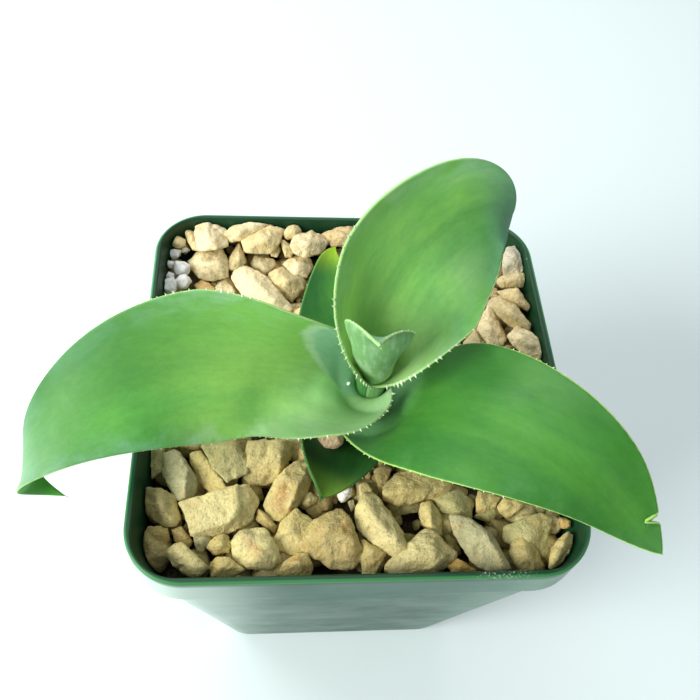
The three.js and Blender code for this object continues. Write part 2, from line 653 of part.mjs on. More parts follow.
// The gravel: a bed with the stones set into it. A stone that meets a leaf or a grain is pressed down clear.
function gravelSolid(keepClear) {
  const bottom = SOIL_TOP + GAP;
  const levels = [bottom, GRAVEL_BED_TOP];
  let gravel = squareLoft(levels.map((height) => insideRing(height, WALL + GAP)));
  const place = (stone, middle, seed, detail) => {
    let depth = middle;
    let solid = stoneSolid(stone, depth, seed, detail);
    while (keepClear.some((piece) => !piece.intersect(solid).isEmpty())) {
      depth -= SINK_STEP;
      if (depth < DEEPEST_MIDDLE) return;
      solid = stoneSolid(stone, depth, seed, detail);
    }
    gravel = gravel.add(solid);
  };
  STONES.forEach((stone, index) => {
    place(stone, STONE_MIDDLE, LARGE_SEED + index, stone.length < LARGE_STONE ? 0 : 1);
  });
  fillerStones().forEach((stone, index) => place(stone, FILLER_MIDDLE, SMALL_SEED + index, 0));
  return wholeBody(gravel.intersect(stoneRoom(bottom)).subtract(stemSolid(GAP)));
}

function named(name, geometry, colour, roughness) {
  const material = new THREE.MeshStandardMaterial({ color: colour, roughness, metalness: 0, flatShading: true });
  const mesh = new THREE.Mesh(geometry, material);
  mesh.name = name;
  return mesh;
}

const agave = new THREE.Group();
const leafNames = Object.keys(LEAVES);
const grownLeaves = leafNames.map((name) => solidOf(bladeGeometry(LEAVES[name], GAP)));
const perlite = perliteSolid();

agave.add(named("pot", geometryOf(potSolid()), COLOURS.pot, ROUGHNESS.pot));
agave.add(named("soil", geometryOf(soilSolid()), COLOURS.soil, ROUGHNESS.soil));
agave.add(named("gravel", geometryOf(gravelSolid([...grownLeaves, perlite])), COLOURS.gravel, ROUGHNESS.gravel));
agave.add(named("perlite", geometryOf(perlite), COLOURS.perlite, ROUGHNESS.perlite));
agave.add(named("stem", geometryOf(stemSolid(0)), COLOURS.stem, ROUGHNESS.stem));
for (const name of leafNames) {
  agave.add(named(name, bladeGeometry(LEAVES[name]), LEAVES[name].colour, ROUGHNESS.leaf));
}

export default agave;
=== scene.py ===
"""A potted octopus agave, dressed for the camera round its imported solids.

Each leaf is a closed blade worked out from a midrib and a curved section, the same rule as its solid,
with a horny cream margin, small teeth and a waxy bloom. The gravel is broken stones set into a bed in a
moulded square nursery pot. Sizes are in millimetres and become metres when a mesh is made.
"""

import itertools
import logging
import math
from dataclasses import dataclass, field
from enum import Enum

import bpy
import numpy as np
from mathutils import Matrix, Vector
from mathutils.bvhtree import BVHTree


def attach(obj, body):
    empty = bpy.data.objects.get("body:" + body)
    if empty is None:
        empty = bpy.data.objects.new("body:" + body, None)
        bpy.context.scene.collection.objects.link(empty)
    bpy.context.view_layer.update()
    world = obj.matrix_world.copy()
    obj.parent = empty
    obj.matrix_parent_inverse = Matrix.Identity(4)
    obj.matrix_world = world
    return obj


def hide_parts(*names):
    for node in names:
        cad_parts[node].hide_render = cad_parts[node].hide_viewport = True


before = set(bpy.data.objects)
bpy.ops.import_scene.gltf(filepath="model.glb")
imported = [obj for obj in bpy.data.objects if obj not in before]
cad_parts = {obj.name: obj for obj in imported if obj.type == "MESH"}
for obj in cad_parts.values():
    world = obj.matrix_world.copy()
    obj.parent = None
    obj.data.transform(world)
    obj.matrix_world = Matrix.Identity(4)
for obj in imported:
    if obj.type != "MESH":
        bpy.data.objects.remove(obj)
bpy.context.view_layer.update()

log = logging.getLogger("agave")

MM = 0.001
BODY = "root"

# Pot: a 3.5 inch square nursery pot. Below the collar its wall is thinner and steps in.
RIM_WIDTH = 89.0
RIM_CORNER = 11.5
RIM_LIP = 1.4
RIM_ROUND = 0.45
POT_HEIGHT = 88.0
BASE_WIDTH = 64.5
BASE_CORNER = 9.0
BASE_ROUND = 1.0
WALL = 1.4
FLOOR = 1.8
COLLAR_HEIGHT = 9.0
COLLAR_STEP = 1.1
DRAIN_RADIUS = 4.5
DRAIN_OFFSET = 20.0

# Fill and plant.
GAP = 0.3
SOIL_TOP = POT_HEIGHT - 15
BED_TOP = POT_HEIGHT - 12.2
AXIS = (3.0, -6.0)
LEAF_FOOT = POT_HEIGHT - 8.5
STEM_TOP_RADIUS = 6.9

Colour = tuple[float, float, float]


class Grain(Enum):
    """How finely a stone's surface is divided: squares along one side of the cube it is drawn from."""

    MIDDLE = 12
    DEEP = 8
    CRUMB = 4


class Shade(Enum):
    """Which way a surface is shaded."""

    SMOOTH = True
    FLAT = False


def seeded_draws(seed: int):
    """Makes a run of draws from 0 to 1 that is the same for the same seed.

    Args:
        seed: whole number that picks the run.

    Returns:
        A function that gives the next draw each time it is called.
    """
    state = seed & 0xFFFFFFFF

    def multiply(a: int, b: int) -> int:
        """Multiplies two 32-bit numbers and keeps 32 bits."""
        return (a * b) & 0xFFFFFFFF

    def draw() -> float:
        """Gives the next draw from 0 to 1."""
        nonlocal state
        state = (state + 0x6D2B79F5) & 0xFFFFFFFF
        mixed = multiply(state ^ (state >> 15), state | 1)
        mixed ^= (mixed + multiply(mixed ^ (mixed >> 7), mixed | 61)) & 0xFFFFFFFF
        return ((mixed ^ (mixed >> 14)) & 0xFFFFFFFF) / 4294967296

    return draw


def smooth_step(value: np.ndarray, low: float, high: float) -> np.ndarray:
    """Rises from 0 at low to 1 at high along x * x * (3 - 2x)."""
    x = np.clip((value - low) / (high - low), 0, 1)
    return x * x * (3 - 2 * x)


def lattice_noise(points: np.ndarray, seed: int) -> np.ndarray:
    """Value noise in space: a random number at each lattice point, blended by a smooth step between them.

    Args:
        points: array of places, one row each, in lattice units.
        seed: whole number that picks the lattice.

    Returns:
        A value from -1 to 1 for each place.
    """
    base = np.floor(points).astype(np.int64)
    part = points - base
    part = part * part * (3 - 2 * part)
    total = np.zeros(len(points))
    for corner in range(8):
        step = np.array([corner & 1, (corner >> 1) & 1, (corner >> 2) & 1])
        cell = base + step
        mixed = (cell[:, 0] * 73856093) ^ (cell[:, 1] * 19349663) ^ (cell[:, 2] * 83492791) ^ (seed * 2654435761)
        mixed = (mixed ^ (mixed >> 13)) * 1274126177
        value = ((mixed ^ (mixed >> 16)) & 0xFFFF) / 32767.5 - 1
        total += value * np.prod(np.where(step == 1, part, 1 - part), axis=1)
    return total


def layered_noise(points: np.ndarray, octaves: int, seed: int) -> np.ndarray:
    """Adds octaves of lattice noise, each twice as fine and half as strong as the one before."""
    total = np.zeros(len(points))
    for octave in range(octaves):
        total += lattice_noise(points * 2**octave + 17.3 * octave, seed + octave) / 2**octave
    return total


def make_piece(
    name: str,
    points: np.ndarray,
    faces: np.ndarray,
    slot: str,
    replaced: tuple[str, ...] = (),
    shade: Shade = Shade.SMOOTH,
) -> bpy.types.Object:
    """Puts points in millimetres and faces into a new object that rides on the pot's body.

    Args:
        name: the piece's name.
        points: places, one row each, in millimetres.
        faces: corner numbers, one row each, of three or four corners.
        slot: not used.
        replaced: solids that the piece stands for.
        shade: smooth or flat.

    Returns:
        The new object, at the origin.
    """
    mesh = bpy.data.meshes.new(name)
    mesh.from_pydata((points * MM).tolist(), [], np.asarray(faces).tolist() if isinstance(faces, np.ndarray) else faces)
    mesh.polygons.foreach_set("use_smooth", np.full(len(mesh.polygons), shade.value))
    mesh.update()
    piece = bpy.data.objects.new(name, mesh)
    bpy.context.scene.collection.objects.link(piece)
    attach(piece, BODY)
    if replaced:
        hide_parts(*replaced)
    return piece


def add_vectors(piece: bpy.types.Object, name: str, values: np.ndarray) -> None:
    """Stores a vector for each point of a piece, for its material to read.

    Args:
        piece: the object.
        name: the attribute's name.
        values: array of vectors, one row for each point.
    """
    layer = piece.data.attributes.new(name, "FLOAT_VECTOR", "POINT")
    layer.data.foreach_set("vector", values.astype(np.float32).ravel())


def ring_faces(levels: int, count: int, start: int = 0) -> np.ndarray:
    """Quads between rings of points that follow each other, each ring closed on itself.

    Args:
        levels: number of rings.
        count: points in a ring.
        start: number of the first point.

    Returns:
        Array of four corners a row, facing outwards when rings run counter-clockwise and upwards.
    """
    level, k = np.meshgrid(np.arange(levels - 1), np.arange(count), indexing="ij")
    after = (k + 1) % count
    quads = np.stack(
        [level * count + k, level * count + after, (level + 1) * count + after, (level + 1) * count + k], -1
    )
    return quads.reshape(-1, 4) + start


class Shader:
    """One material's node tree, with short calls that add a node and give its output."""

    def __init__(self, name: str):
        """Makes an empty material with a Principled surface.

        Args:
            name: the material's name.
        """
        self.material = bpy.data.materials.new(name)
        self.material.use_nodes = True
        self.tree = self.material.node_tree
        self.surface = self.tree.nodes["Principled BSDF"]
        self.place = self.tree.nodes.new("ShaderNodeTexCoord").outputs["Object"]

    def join(self, value, socket) -> None:
        """Links an output to a socket, or sets the socket's own value.

        Args:
            value: an output, a number or a colour.
            socket: the input that takes it.
        """
        if isinstance(value, bpy.types.NodeSocket):
            self.tree.links.new(value, socket)
        elif isinstance(value, tuple) and len(value) == 3 and socket.type == "RGBA":
            socket.default_value = (*value, 1)
        else:
            socket.default_value = value

    def stored(self, name: str):
        """Gives a point's stored vector."""
        node = self.tree.nodes.new("ShaderNodeAttribute")
        node.attribute_name = name
        return node.outputs["Vector"]

    def parts(self, vector):
        """Gives the three parts of a vector."""
        node = self.tree.nodes.new("ShaderNodeSeparateXYZ")
        self.tree.links.new(vector, node.inputs[0])
        return node.outputs

    def vector(self, x, y, z):
        """Gives a vector from three numbers or outputs."""
        node = self.tree.nodes.new("ShaderNodeCombineXYZ")
        for value, socket in zip((x, y, z), node.inputs):
            self.join(value, socket)
        return node.outputs[0]

    def math(self, operation: str, a, b=0.0, c=0.0, clamp: bool = False):
        """Gives the result of one Math node."""
        node = self.tree.nodes.new("ShaderNodeMath")
        node.operation = operation
        node.use_clamp = clamp
        for value, socket in zip((a, b, c), node.inputs):
            self.join(value, socket)
        return node.outputs[0]

    def rise(self, value, low: float, high: float, bottom: float = 0.0, top: float = 1.0):
        """Maps a value from low..high to bottom..top along a smooth step, and holds it outside.

        Args:
            value: the output to map.
            low: where the rise begins.
            high: where it ends; it may be less than low, for a fall.
            bottom: the result at low.
            top: the result at high.

        Returns:
            The mapped output.
        """
        node = self.tree.nodes.new("ShaderNodeMapRange")
        node.interpolation_type = "SMOOTHSTEP"
        settings = (value, low, high, bottom, top)
        if low > high:
            settings = (value, high, low, top, bottom)
        for setting, socket in zip(settings, node.inputs):
            self.join(setting, socket)
        return node.outputs[0]

    def noise(self, where, scale: float, detail: float = 3.0, rough: float = 0.5, warp: float = 0.0):
        """Gives fractal noise from 0 to 1 at a place."""
        node = self.tree.nodes.new("ShaderNodeTexNoise")
        self.join(where, node.inputs["Vector"])
        node.inputs["Scale"].default_value = scale
        node.inputs["Detail"].default_value = detail
        node.inputs["Roughness"].default_value = rough
        node.inputs["Distortion"].default_value = warp
        return node.outputs["Fac"]

    def cells(self, where, scale: float, feature: str = "F1"):
        """Gives the distance to the nearest of scattered points, at a place."""
        node = self.tree.nodes.new("ShaderNodeTexVoronoi")
        node.feature = feature
        self.join(where, node.inputs["Vector"])
        node.inputs["Scale"].default_value = scale
        return node.outputs["Distance"]

    def mix(self, share, a, b, blend: str = "MIX"):
        """Gives colour a changed towards colour b by a share."""
        node = self.tree.nodes.new("ShaderNodeMix")
        node.data_type = "RGBA"
        node.blend_type = blend
        self.join(share, node.inputs["Factor"])
        self.join(a, node.inputs["A"])
        self.join(b, node.inputs["B"])
        return node.outputs["Result"]

    def bump(self, height, depth: float, strength: float = 1.0, under=None):
        """Gives a normal that follows a height.

        Args:
            height: output from 0 to 1.
            depth: what a height of 1 stands for, in millimetres.
            strength: share of the effect.
            under: normal that this one is added to.

        Returns:
            The normal.
        """
        node = self.tree.nodes.new("ShaderNodeBump")
        node.inputs["Strength"].default_value = strength
        node.inputs["Distance"].default_value = depth * MM
        self.join(height, node.inputs["Height"])
        if under is not None:
            self.join(under, node.inputs["Normal"])
        return node.outputs["Normal"]

    def finish(self, colour, roughness, normal=None, **own) -> bpy.types.Material:
        """Joins the results to the surface.

        Args:
            colour: base colour.
            roughness: roughness.
            normal: normal, where there is one.
            own: other sockets of the surface and their plain values.

        Returns:
            The finished material.
        """
        self.join(colour, self.surface.inputs["Base Color"])
        self.join(roughness, self.surface.inputs["Roughness"])
        if normal is not None:
            self.join(normal, self.surface.inputs["Normal"])
        for name, value in own.items():
            self.surface.inputs[name.replace("_", " ")].default_value = value
        return self.material


@dataclass(frozen=True)
class Heading:
    """Compass direction of a midrib in degrees: start + linear * s + square * s^2 + hook past hook_from."""

    start: float
    linear: float
    square: float
    hook: float


@dataclass(frozen=True)
class Rise:
    """Slope of a midrib in degrees, from start to end along s^power, with a hook, and the collar's slope."""

    start: float
    end: float
    power: float
    hook: float
    collar: float


@dataclass(frozen=True)
class Roll:
    """Turn of a blade about its midrib in degrees, with a hook, and the collar's turn."""

    start: float
    linear: float
    square: float
    hook: float
    collar: float


@dataclass(frozen=True)
class Cup:
    """Half the angle that a blade's section bends through, in degrees; length is where the base's fades out."""

    base: float
    middle: float
    tip: float
    length: float


@dataclass(frozen=True)
class Outline:
    """Half width of a blade: its most, where that is, and how it tapers past it."""

    half_width: float
    widest_at: float
    taper: float
    fullness: float


@dataclass(frozen=True)
class Teeth:
    """A margin's teeth: where they begin and end along the blade, their spacing and height in millimetres.

    splay is how far they lean to the outer face, as a share of their height.
    """

    right: tuple[float, float]
    left: tuple[float, float]
    pitch: float = 2.1
    height: float = 0.75
    splay: float = 0.0


@dataclass(frozen=True)
class Nudge:
    """A local pull on a blade near s: how far each margin moves, in millimetres, and over what length of s."""

    at: float
    spread: float
    right: tuple[float, float, float] = (0.0, 0.0, 0.0)
    left: tuple[float, float, float] = (0.0, 0.0, 0.0)
    whole: tuple[float, float, float] = (0.0, 0.0, 0.0)


@dataclass(frozen=True)
class ShadingPatch:
    """A soft patch of a blade round a place (s, t), with its reach each way, that the colour is multiplied by: painted
    shade where the tint is under 1, painted light where it is over 1.
    """

    s: float
    t: float
    s_reach: float
    t_reach: float
    tint: Colour


@dataclass(frozen=True)
class LeafFinish:
    """A leaf's colours and how strongly each shows.

    far, left and right are shares that the colour is multiplied by, painted shade and painted light for how the blade
    faces the lamps: far along the blade past far_from, and towards its left and right margins. The root's colour lies
    where s + root_slant * t is under root_from: partly its bloom, partly painted light that lifts the shade deep in the
    rosette. fold_shade is the share of a painted shaded channel near the base.
    """

    light: Colour
    dark: Colour
    bloom: Colour
    bloom_share: float
    outer: Colour
    streak: Colour
    streak_share: float
    tip: Colour
    tip_share: float
    tip_from: float
    far: Colour = (1.0, 1.0, 1.0)
    far_from: float = 0.4
    left: Colour = (1.0, 1.0, 1.0)
    right: Colour = (1.0, 1.0, 1.0)
    root: Colour = (0.26, 0.46, 0.30)
    root_share: float = 0.0
    root_from: float = 0.1
    root_slant: float = 0.0
    margin: Colour = (0.36, 0.60, 0.22)
    margin_width: float = 0.11
    waxy: float = 0.0
    fold_shade: float = 0.0
    outer_root: float = 0.0
    shading_patches: tuple[ShadingPatch, ...] = ()
    seed: float = 0.0
    roughness: float = 0.55


@dataclass(frozen=True)
class LeafForm:
    """One leaf's shape, from its base (s = 0) to its tip (s = 1), in millimetres and degrees."""

    name: str
    heading: Heading
    rise: Rise
    roll: Roll
    cup: Cup
    outline: Outline
    length: float
    collar_length: float
    hook_from: float
    base_radius: float
    base_height: float
    thickness: float
    teeth: Teeth
    finish: LeafFinish
    slot: str
    trim_part: float = 0.0
    trim_length: float = 1.0
    hug: float = 0.0
    lift: float = 0.0
    wrap_reach: float = 3.4
    spiral: float = 0.0
    nudges: tuple[Nudge, ...] = ()
    spine: float = 1.2


# Left leaf: painted shade far along the blade and towards its right margin, patches of painted light and shade, a
# painted shaded channel at the fold, and a root colour that is partly bloom, partly painted light.
GREEN_LEFT = LeafFinish(
    light=(0.22, 0.51, 0.095), dark=(0.155, 0.42, 0.085), bloom=(0.40, 0.63, 0.40), bloom_share=0.65, right=(0.72, 0.84, 0.74),
    outer=(0.07, 0.36, 0.03), streak=(0.27, 0.56, 0.12), streak_share=0.3,
    tip=(0.42, 0.60, 0.46), tip_share=0.8, tip_from=0.66, seed=3.0,
    far=(0.31, 0.51, 0.42), far_from=0.3, shading_patches=(
        ShadingPatch(0.175, 1.0, 0.12, 0.5, (0.58, 0.62, 0.60)), ShadingPatch(0.48, 0.7, 0.24, 0.9, (1.7, 1.55, 1.6)),
        ShadingPatch(0.115, 0.15, 0.06, 0.4, (1.65, 1.6, 1.7)),
    ), root=(0.37, 0.61, 0.32), root_share=0.6, root_from=0.26, root_slant=-0.06, fold_shade=0.8,
)
# Back leaf: painted lighter towards its left margin, and darker towards its right margin and far along, as painted
# light and shade; its root colour is painted light that lifts the shade in its funnel.
GREEN_BACK = LeafFinish(
    light=(0.22, 0.50, 0.095), dark=(0.13, 0.38, 0.08), bloom=(0.32, 0.54, 0.34), bloom_share=0.4,
    outer=(0.07, 0.26, 0.055), streak=(0.28, 0.58, 0.13), streak_share=0.4,
    tip=(0.12, 0.30, 0.19), tip_share=0.8, tip_from=0.82, seed=11.0,
    left=(2.3, 1.9, 2.0), right=(0.54, 0.65, 0.70),
    far=(0.48, 0.6, 0.58), far_from=0.5, root=(0.60, 0.92, 0.36), root_share=0.75, root_from=0.55,
)
# Right leaf: its greens are painted dark as painted shade, for a blade that faces away from the key light, and darker
# still towards its left margin; its root colour is painted light against the shade at its base.
GREEN_RIGHT_SHADED = LeafFinish(
    light=(0.050, 0.215, 0.024), dark=(0.034, 0.175, 0.026), bloom=(0.10, 0.28, 0.09), bloom_share=0.35,
    outer=(0.07, 0.28, 0.06), streak=(0.085, 0.28, 0.045), streak_share=0.35,
    tip=(0.045, 0.17, 0.04), tip_share=0.6, tip_from=0.86, seed=23.0,
    root=(0.17, 0.43, 0.18), root_share=0.9, root_from=0.24, left=(0.7, 0.82, 0.68),
    margin=(0.34, 0.58, 0.13), margin_width=0.17,
)
GREEN_SHADED = LeafFinish(
    light=(0.070, 0.31, 0.035), dark=(0.034, 0.19, 0.035), bloom=(0.08, 0.25, 0.10), bloom_share=0.2,
    outer=(0.05, 0.2, 0.05), streak=(0.06, 0.24, 0.035), streak_share=0.3,
    tip=(0.42, 0.68, 0.03), tip_share=1.0, tip_from=0.7, margin=(0.09, 0.28, 0.06), seed=31.0,
)
# Small front leaf: its greens are painted dark as painted shade, under the leaves that overhang it.
GREEN_FRONT_SHADED = LeafFinish(
    light=(0.026, 0.12, 0.016), dark=(0.010, 0.065, 0.010), bloom=(0.05, 0.15, 0.05), bloom_share=0.2,
    outer=(0.05, 0.2, 0.05), streak=(0.035, 0.15, 0.02), streak_share=0.3,
    tip=(0.13, 0.26, 0.02), tip_share=0.85, tip_from=0.66, margin=(0.045, 0.16, 0.035), seed=37.0,
)
# Young leaf: its root colour, on its inner and outer faces, is painted light that lifts the shade at its base.
GREEN_YOUNG = LeafFinish(
    light=(0.16, 0.42, 0.24), dark=(0.12, 0.35, 0.20), bloom=(0.28, 0.52, 0.32), bloom_share=0.3,
    outer=(0.16, 0.37, 0.115), streak=(0.3, 0.52, 0.26), streak_share=0.3,
    waxy=0.4, root=(0.44, 0.70, 0.30), root_from=0.5, outer_root=0.75,
    tip=(0.35, 0.58, 0.3), tip_share=0.4, tip_from=0.85, seed=41.0,
)

LEAVES = (
    LeafForm(
        name="leaf_centre", slot="leaf_young",
        heading=Heading(-105.5, -32.2, 19.5, 41.5), rise=Rise(58.6, 87.2, 1.08, -65.2, 88.9),
        roll=Roll(9.4, 50.8, -62.3, -15.6, 24.8), cup=Cup(84, 52, 52.3, 0.28),
        outline=Outline(6.63, 0.76, 1.45, 1.26), length=36.2, collar_length=0.15, hook_from=0.63,
        base_radius=2.3, base_height=10.4, thickness=1.0,
        teeth=Teeth((0.4, 0.97), (0.4, 0.97), 0.9, 0.55), finish=GREEN_YOUNG,
        nudges=(
            Nudge(0.0, 0.24, whole=(-0.3, -1.0, -0.4)), Nudge(0.35, 0.25, left=(-1.3, 0.0, 0.0)),
            Nudge(0.53, 0.14, right=(0.9, 0.0, 0.0)),
        ),
    ),
    LeafForm(
        name="leaf_back", slot="leaf",
        heading=Heading(70.9, -65.2, 3.4, -12.5), rise=Rise(126.6, 13.5, 0.69, -80.2, 79.9),
        roll=Roll(26.3, 30.8, -26.2, -11.7, 2), cup=Cup(193, 60.1, 20.2, 0.67),
        outline=Outline(15.92, 0.54, 1.13, 0.44), length=48.87, collar_length=0.15, hook_from=0.74,
        base_radius=3.0, base_height=9.91, thickness=1.4,
        teeth=Teeth((0.1, 0.55), (0.1, 0.62), 1.7, 0.85, 1.0), finish=GREEN_BACK,
        spiral=0.004, nudges=(Nudge(0.0, 0.12, (-1.5, 0.0, 0.0), (-1.5, 0.0, 0.0)),),
    ),
    LeafForm(
        name="leaf_left", slot="leaf",
        heading=Heading(179.7, 5.9, 47.7, -70.5), rise=Rise(38.3, -57.1, 0.98, -108.4, 76.2),
        roll=Roll(-76, -13.6, 155, -16.1, 30.2), cup=Cup(132.5, 4, 3, 0.45),
        outline=Outline(15.78, 0.38, 1.1, 0.96), length=92.5, collar_length=0.28, hook_from=0.67,
        base_radius=4.76, base_height=2.61, thickness=1.6,
        teeth=Teeth((0.3, 0.7), (0.02, 0.62), 1.5, 0.52, 0.4), finish=GREEN_LEFT, trim_part=0.62, trim_length=0.19,
        hug=1.0, lift=3.0, nudges=(Nudge(0.08, 0.035, left=(0.0, -0.9, -0.6)), Nudge(0.865, 0.03, left=(-1.7, 0.0, 0.0), whole=(1.7, 0.0, 0.0))),
    ),
    LeafForm(
        name="leaf_right", slot="leaf_deep",
        heading=Heading(-45.2, 28.6, -19.2, -18.5), rise=Rise(72.3, -78.6, 1.56, 67.8, 85.4),
        roll=Roll(-7.6, 86.7, -34.4, -21.4, -7.4), cup=Cup(109.5, 15, 22.2, 0.27),
        outline=Outline(13.6, 0.37, 1.64, 0.78), length=74.7, collar_length=0.19, hook_from=0.74,
        base_radius=6.03, base_height=-6.71, thickness=1.6,
        teeth=Teeth((0.1, 0.75), (0.1, 0.75), 1.8, 0.5), finish=GREEN_RIGHT_SHADED,
        hug=0.8, lift=5.0, wrap_reach=5.0, spine=0.2, nudges=(Nudge(0.925, 0.007, left=(-2.9, -0.7, 0.0)),),
    ),
    LeafForm(
        name="leaf_small_front", slot="leaf_dark",
        heading=Heading(-114.1, 4.3, 8.8, -16.2), rise=Rise(44.8, -2.2, 1.23, -26.2, 81.8),
        roll=Roll(2.3, -13.2, -14.1, -16.8, -16.3), cup=Cup(60.3, 29.6, 30.8, 0.34),
        outline=Outline(9.61, 0.21, 2.18, 0.79), length=21.86, collar_length=0.28, hook_from=0.82,
        base_radius=7.35, base_height=-6.72, thickness=1.2,
        teeth=Teeth((0.1, 0.9), (0.1, 0.9), 1.9, 0.5), finish=GREEN_FRONT_SHADED,
    ),
    LeafForm(
        name="leaf_small_back", slot="leaf_dark",
        heading=Heading(106.2, -15.5, -0.8, -35.9), rise=Rise(24.5, -7.1, 1.23, -9.8, 83.3),
        roll=Roll(-9.8, 17.5, 17.2, -16.9, 4.6), cup=Cup(51.3, 24, 21.5, 0.44),
        outline=Outline(11.26, 0.33, 1.1, 0.93), length=38.1, collar_length=0.19, hook_from=0.76,
        base_radius=7.45, base_height=-8.01, thickness=1.3,
        teeth=Teeth((0.1, 0.85), (0.1, 0.85), 1.9, 0.5), finish=GREEN_SHADED,
    ),
)


@dataclass
class Leaf:
    """A fleshy blade with a horny toothed margin, closed round into a sheath at its base."""

    form: LeafForm
    midrib_steps: int = 480
    rows: int = 210
    columns: int = 48
    margin_thickness: float = 0.6
    swell_from: float = 0.1
    swell_full: float = 0.4
    spiral_length: float = 0.12
    piece: bpy.types.Object | None = None
    spine: np.ndarray = field(init=False)

    def __post_init__(self) -> None:
        """Works out the midrib once: short steps along its direction are added up."""
        steps = np.linspace(0, 1, self.midrib_steps + 1)
        along = self.frame_at(steps)[0]
        strides = (along[1:] + along[:-1]) * (self.form.length / self.midrib_steps / 2)
        foot = np.array([*AXIS, POT_HEIGHT + self.form.base_height])
        inward = self.frame_at(np.zeros(1))[2][0]
        start = foot - inward * self.form.base_radius
        self.spine = start + np.vstack([np.zeros(3), np.cumsum(strides, 0)])

    def frame_at(self, s: np.ndarray) -> tuple[np.ndarray, np.ndarray, np.ndarray]:
        """Directions at places on the midrib.

        Args:
            s: places from 0 to 1.

        Returns:
            Unit vectors along the midrib, across the blade to its left, and towards its inner face.
        """
        form = self.form
        hook = np.clip((s - form.hook_from) / (1 - form.hook_from), 0, 1) ** 2
        collar = np.clip(1 - s / form.collar_length, 0, 1) ** 2
        slope = form.rise.start + (form.rise.end - form.rise.start) * s**form.rise.power + form.rise.hook * hook
        lean = form.roll.start + form.roll.linear * s + form.roll.square * s * s + form.roll.hook * hook
        head = form.heading.start + form.heading.linear * s + form.heading.square * s * s
        yaw = np.radians(head + form.heading.hook * hook)
        pitch = np.radians(slope * (1 - collar) + form.rise.collar * collar)
        turn = np.radians(lean * (1 - collar) + form.roll.collar * collar)[:, None]
        along = np.stack([np.cos(pitch) * np.cos(yaw), np.cos(pitch) * np.sin(yaw), np.sin(pitch)], -1)
        level = np.stack([-np.sin(yaw), np.cos(yaw), 0 * yaw], -1)
        above = np.cross(along, level)
        across = level * np.cos(turn) + above * np.sin(turn)
        inward = above * np.cos(turn) - level * np.sin(turn)
        return along, across, inward

    def half_width(self, s: np.ndarray) -> np.ndarray:
        """Half the blade's width along its curved section, at places on the midrib."""
        outline = self.form.outline
        base = self.form.base_radius * math.radians(self.form.cup.base)
        share = np.sin(math.pi / 2 * np.clip(s / outline.widest_at, 0, 1)) ** 1.5
        past = np.clip((s - outline.widest_at) / (1 - outline.widest_at), 0, 1)
        beyond = outline.half_width * (1 - past**outline.taper) ** outline.fullness
        return np.maximum(np.where(s < outline.widest_at, base + (outline.half_width - base) * share, beyond), 0.02)

    def cup(self, s: np.ndarray) -> np.ndarray:
        """Half the angle of the section in radians, at places on the midrib."""
        cup = self.form.cup
        fade = np.clip(1 - s / cup.length, 0, 1) ** 2
        return np.radians(cup.middle + (cup.base - cup.middle) * fade + (cup.tip - cup.middle) * s**3)

    def surface(self, s: np.ndarray, t: np.ndarray) -> np.ndarray:
        """Middle surface of the blade: an arc across the midrib at each s, from t = -1 to t = 1.

        Args:
            s: places along the blade, one for each row.
            t: places across it, one for each column, or one row of them for each s.

        Returns:
            Array of rows, columns and coordinates.
        """
        at = s * self.midrib_steps
        below = np.clip(np.floor(at).astype(int), 0, self.midrib_steps - 1)
        part = (at - below)[:, None]
        centre = self.spine[below] * (1 - part) + self.spine[below + 1] * part
        _, across, inward = self.frame_at(s)
        cup = self.cup(s)[:, None]
        radius = self.half_width(s)[:, None] / cup
        trim = 1 - self.form.trim_part * np.clip(1 - s / self.form.trim_length, 0, 1)[:, None]
        t = np.broadcast_to(t, (len(s), t.shape[-1]))
        angle = cup * np.where(t < 0, t * trim, t)
        wound = radius * (1 + self.form.spiral * t * np.clip(1 - s / self.spiral_length, 0, 1)[:, None])
        place = centre[:, None] + across[:, None] * (wound * np.sin(angle))[..., None]
        place = place + inward[:, None] * (radius - wound * np.cos(angle))[..., None]
        for nudge in self.form.nudges:
            near = np.exp(-(((s - nudge.at) / nudge.spread) ** 2))[:, None]
            place = place + near[..., None] * np.array(nudge.whole)
            place = place + (near * np.clip(t, 0, 1) ** 2)[..., None] * np.array(nudge.left)
            place = place + (near * np.clip(-t, 0, 1) ** 2)[..., None] * np.array(nudge.right)
        return self.wrapped(place)

    def wrapped(self, place: np.ndarray) -> np.ndarray:
        """Draws the blade's foot in round the leaf inside it: nearer to the plant's axis, and higher.

        Both moves fade along a smooth step with the distance from the axis.
        """
        base = self.form.base_radius
        away = place[..., :2] - np.array(AXIS)
        distance = np.linalg.norm(away, axis=-1)
        near = 1 - smooth_step(distance, base - 0.3, base + self.form.wrap_reach)
        moved = place.copy()
        moved[..., :2] -= away * (self.form.hug * near / np.maximum(distance, 1e-6))[..., None]
        moved[..., 2] += self.form.lift * near
        return moved

    def half_thickness(self, s: np.ndarray, t: np.ndarray) -> np.ndarray:
        """Half the blade's thickness: thin at the margin, where it closes on a round edge, and at the tip."""
        swell = smooth_step(s, self.swell_from, self.swell_full) * (1 - s**4)
        middle = (self.form.thickness - self.margin_thickness) * (1 - t * t) * swell[:, None]
        width = self.half_width(s)[:, None]
        edge = np.clip((1 - np.abs(t)) * width / (self.margin_thickness / 2), 0, 1)
        rounded = np.sqrt(np.clip(1 - (1 - edge) ** 2, 0, 1))
        return (self.margin_thickness + middle) / 2 * rounded

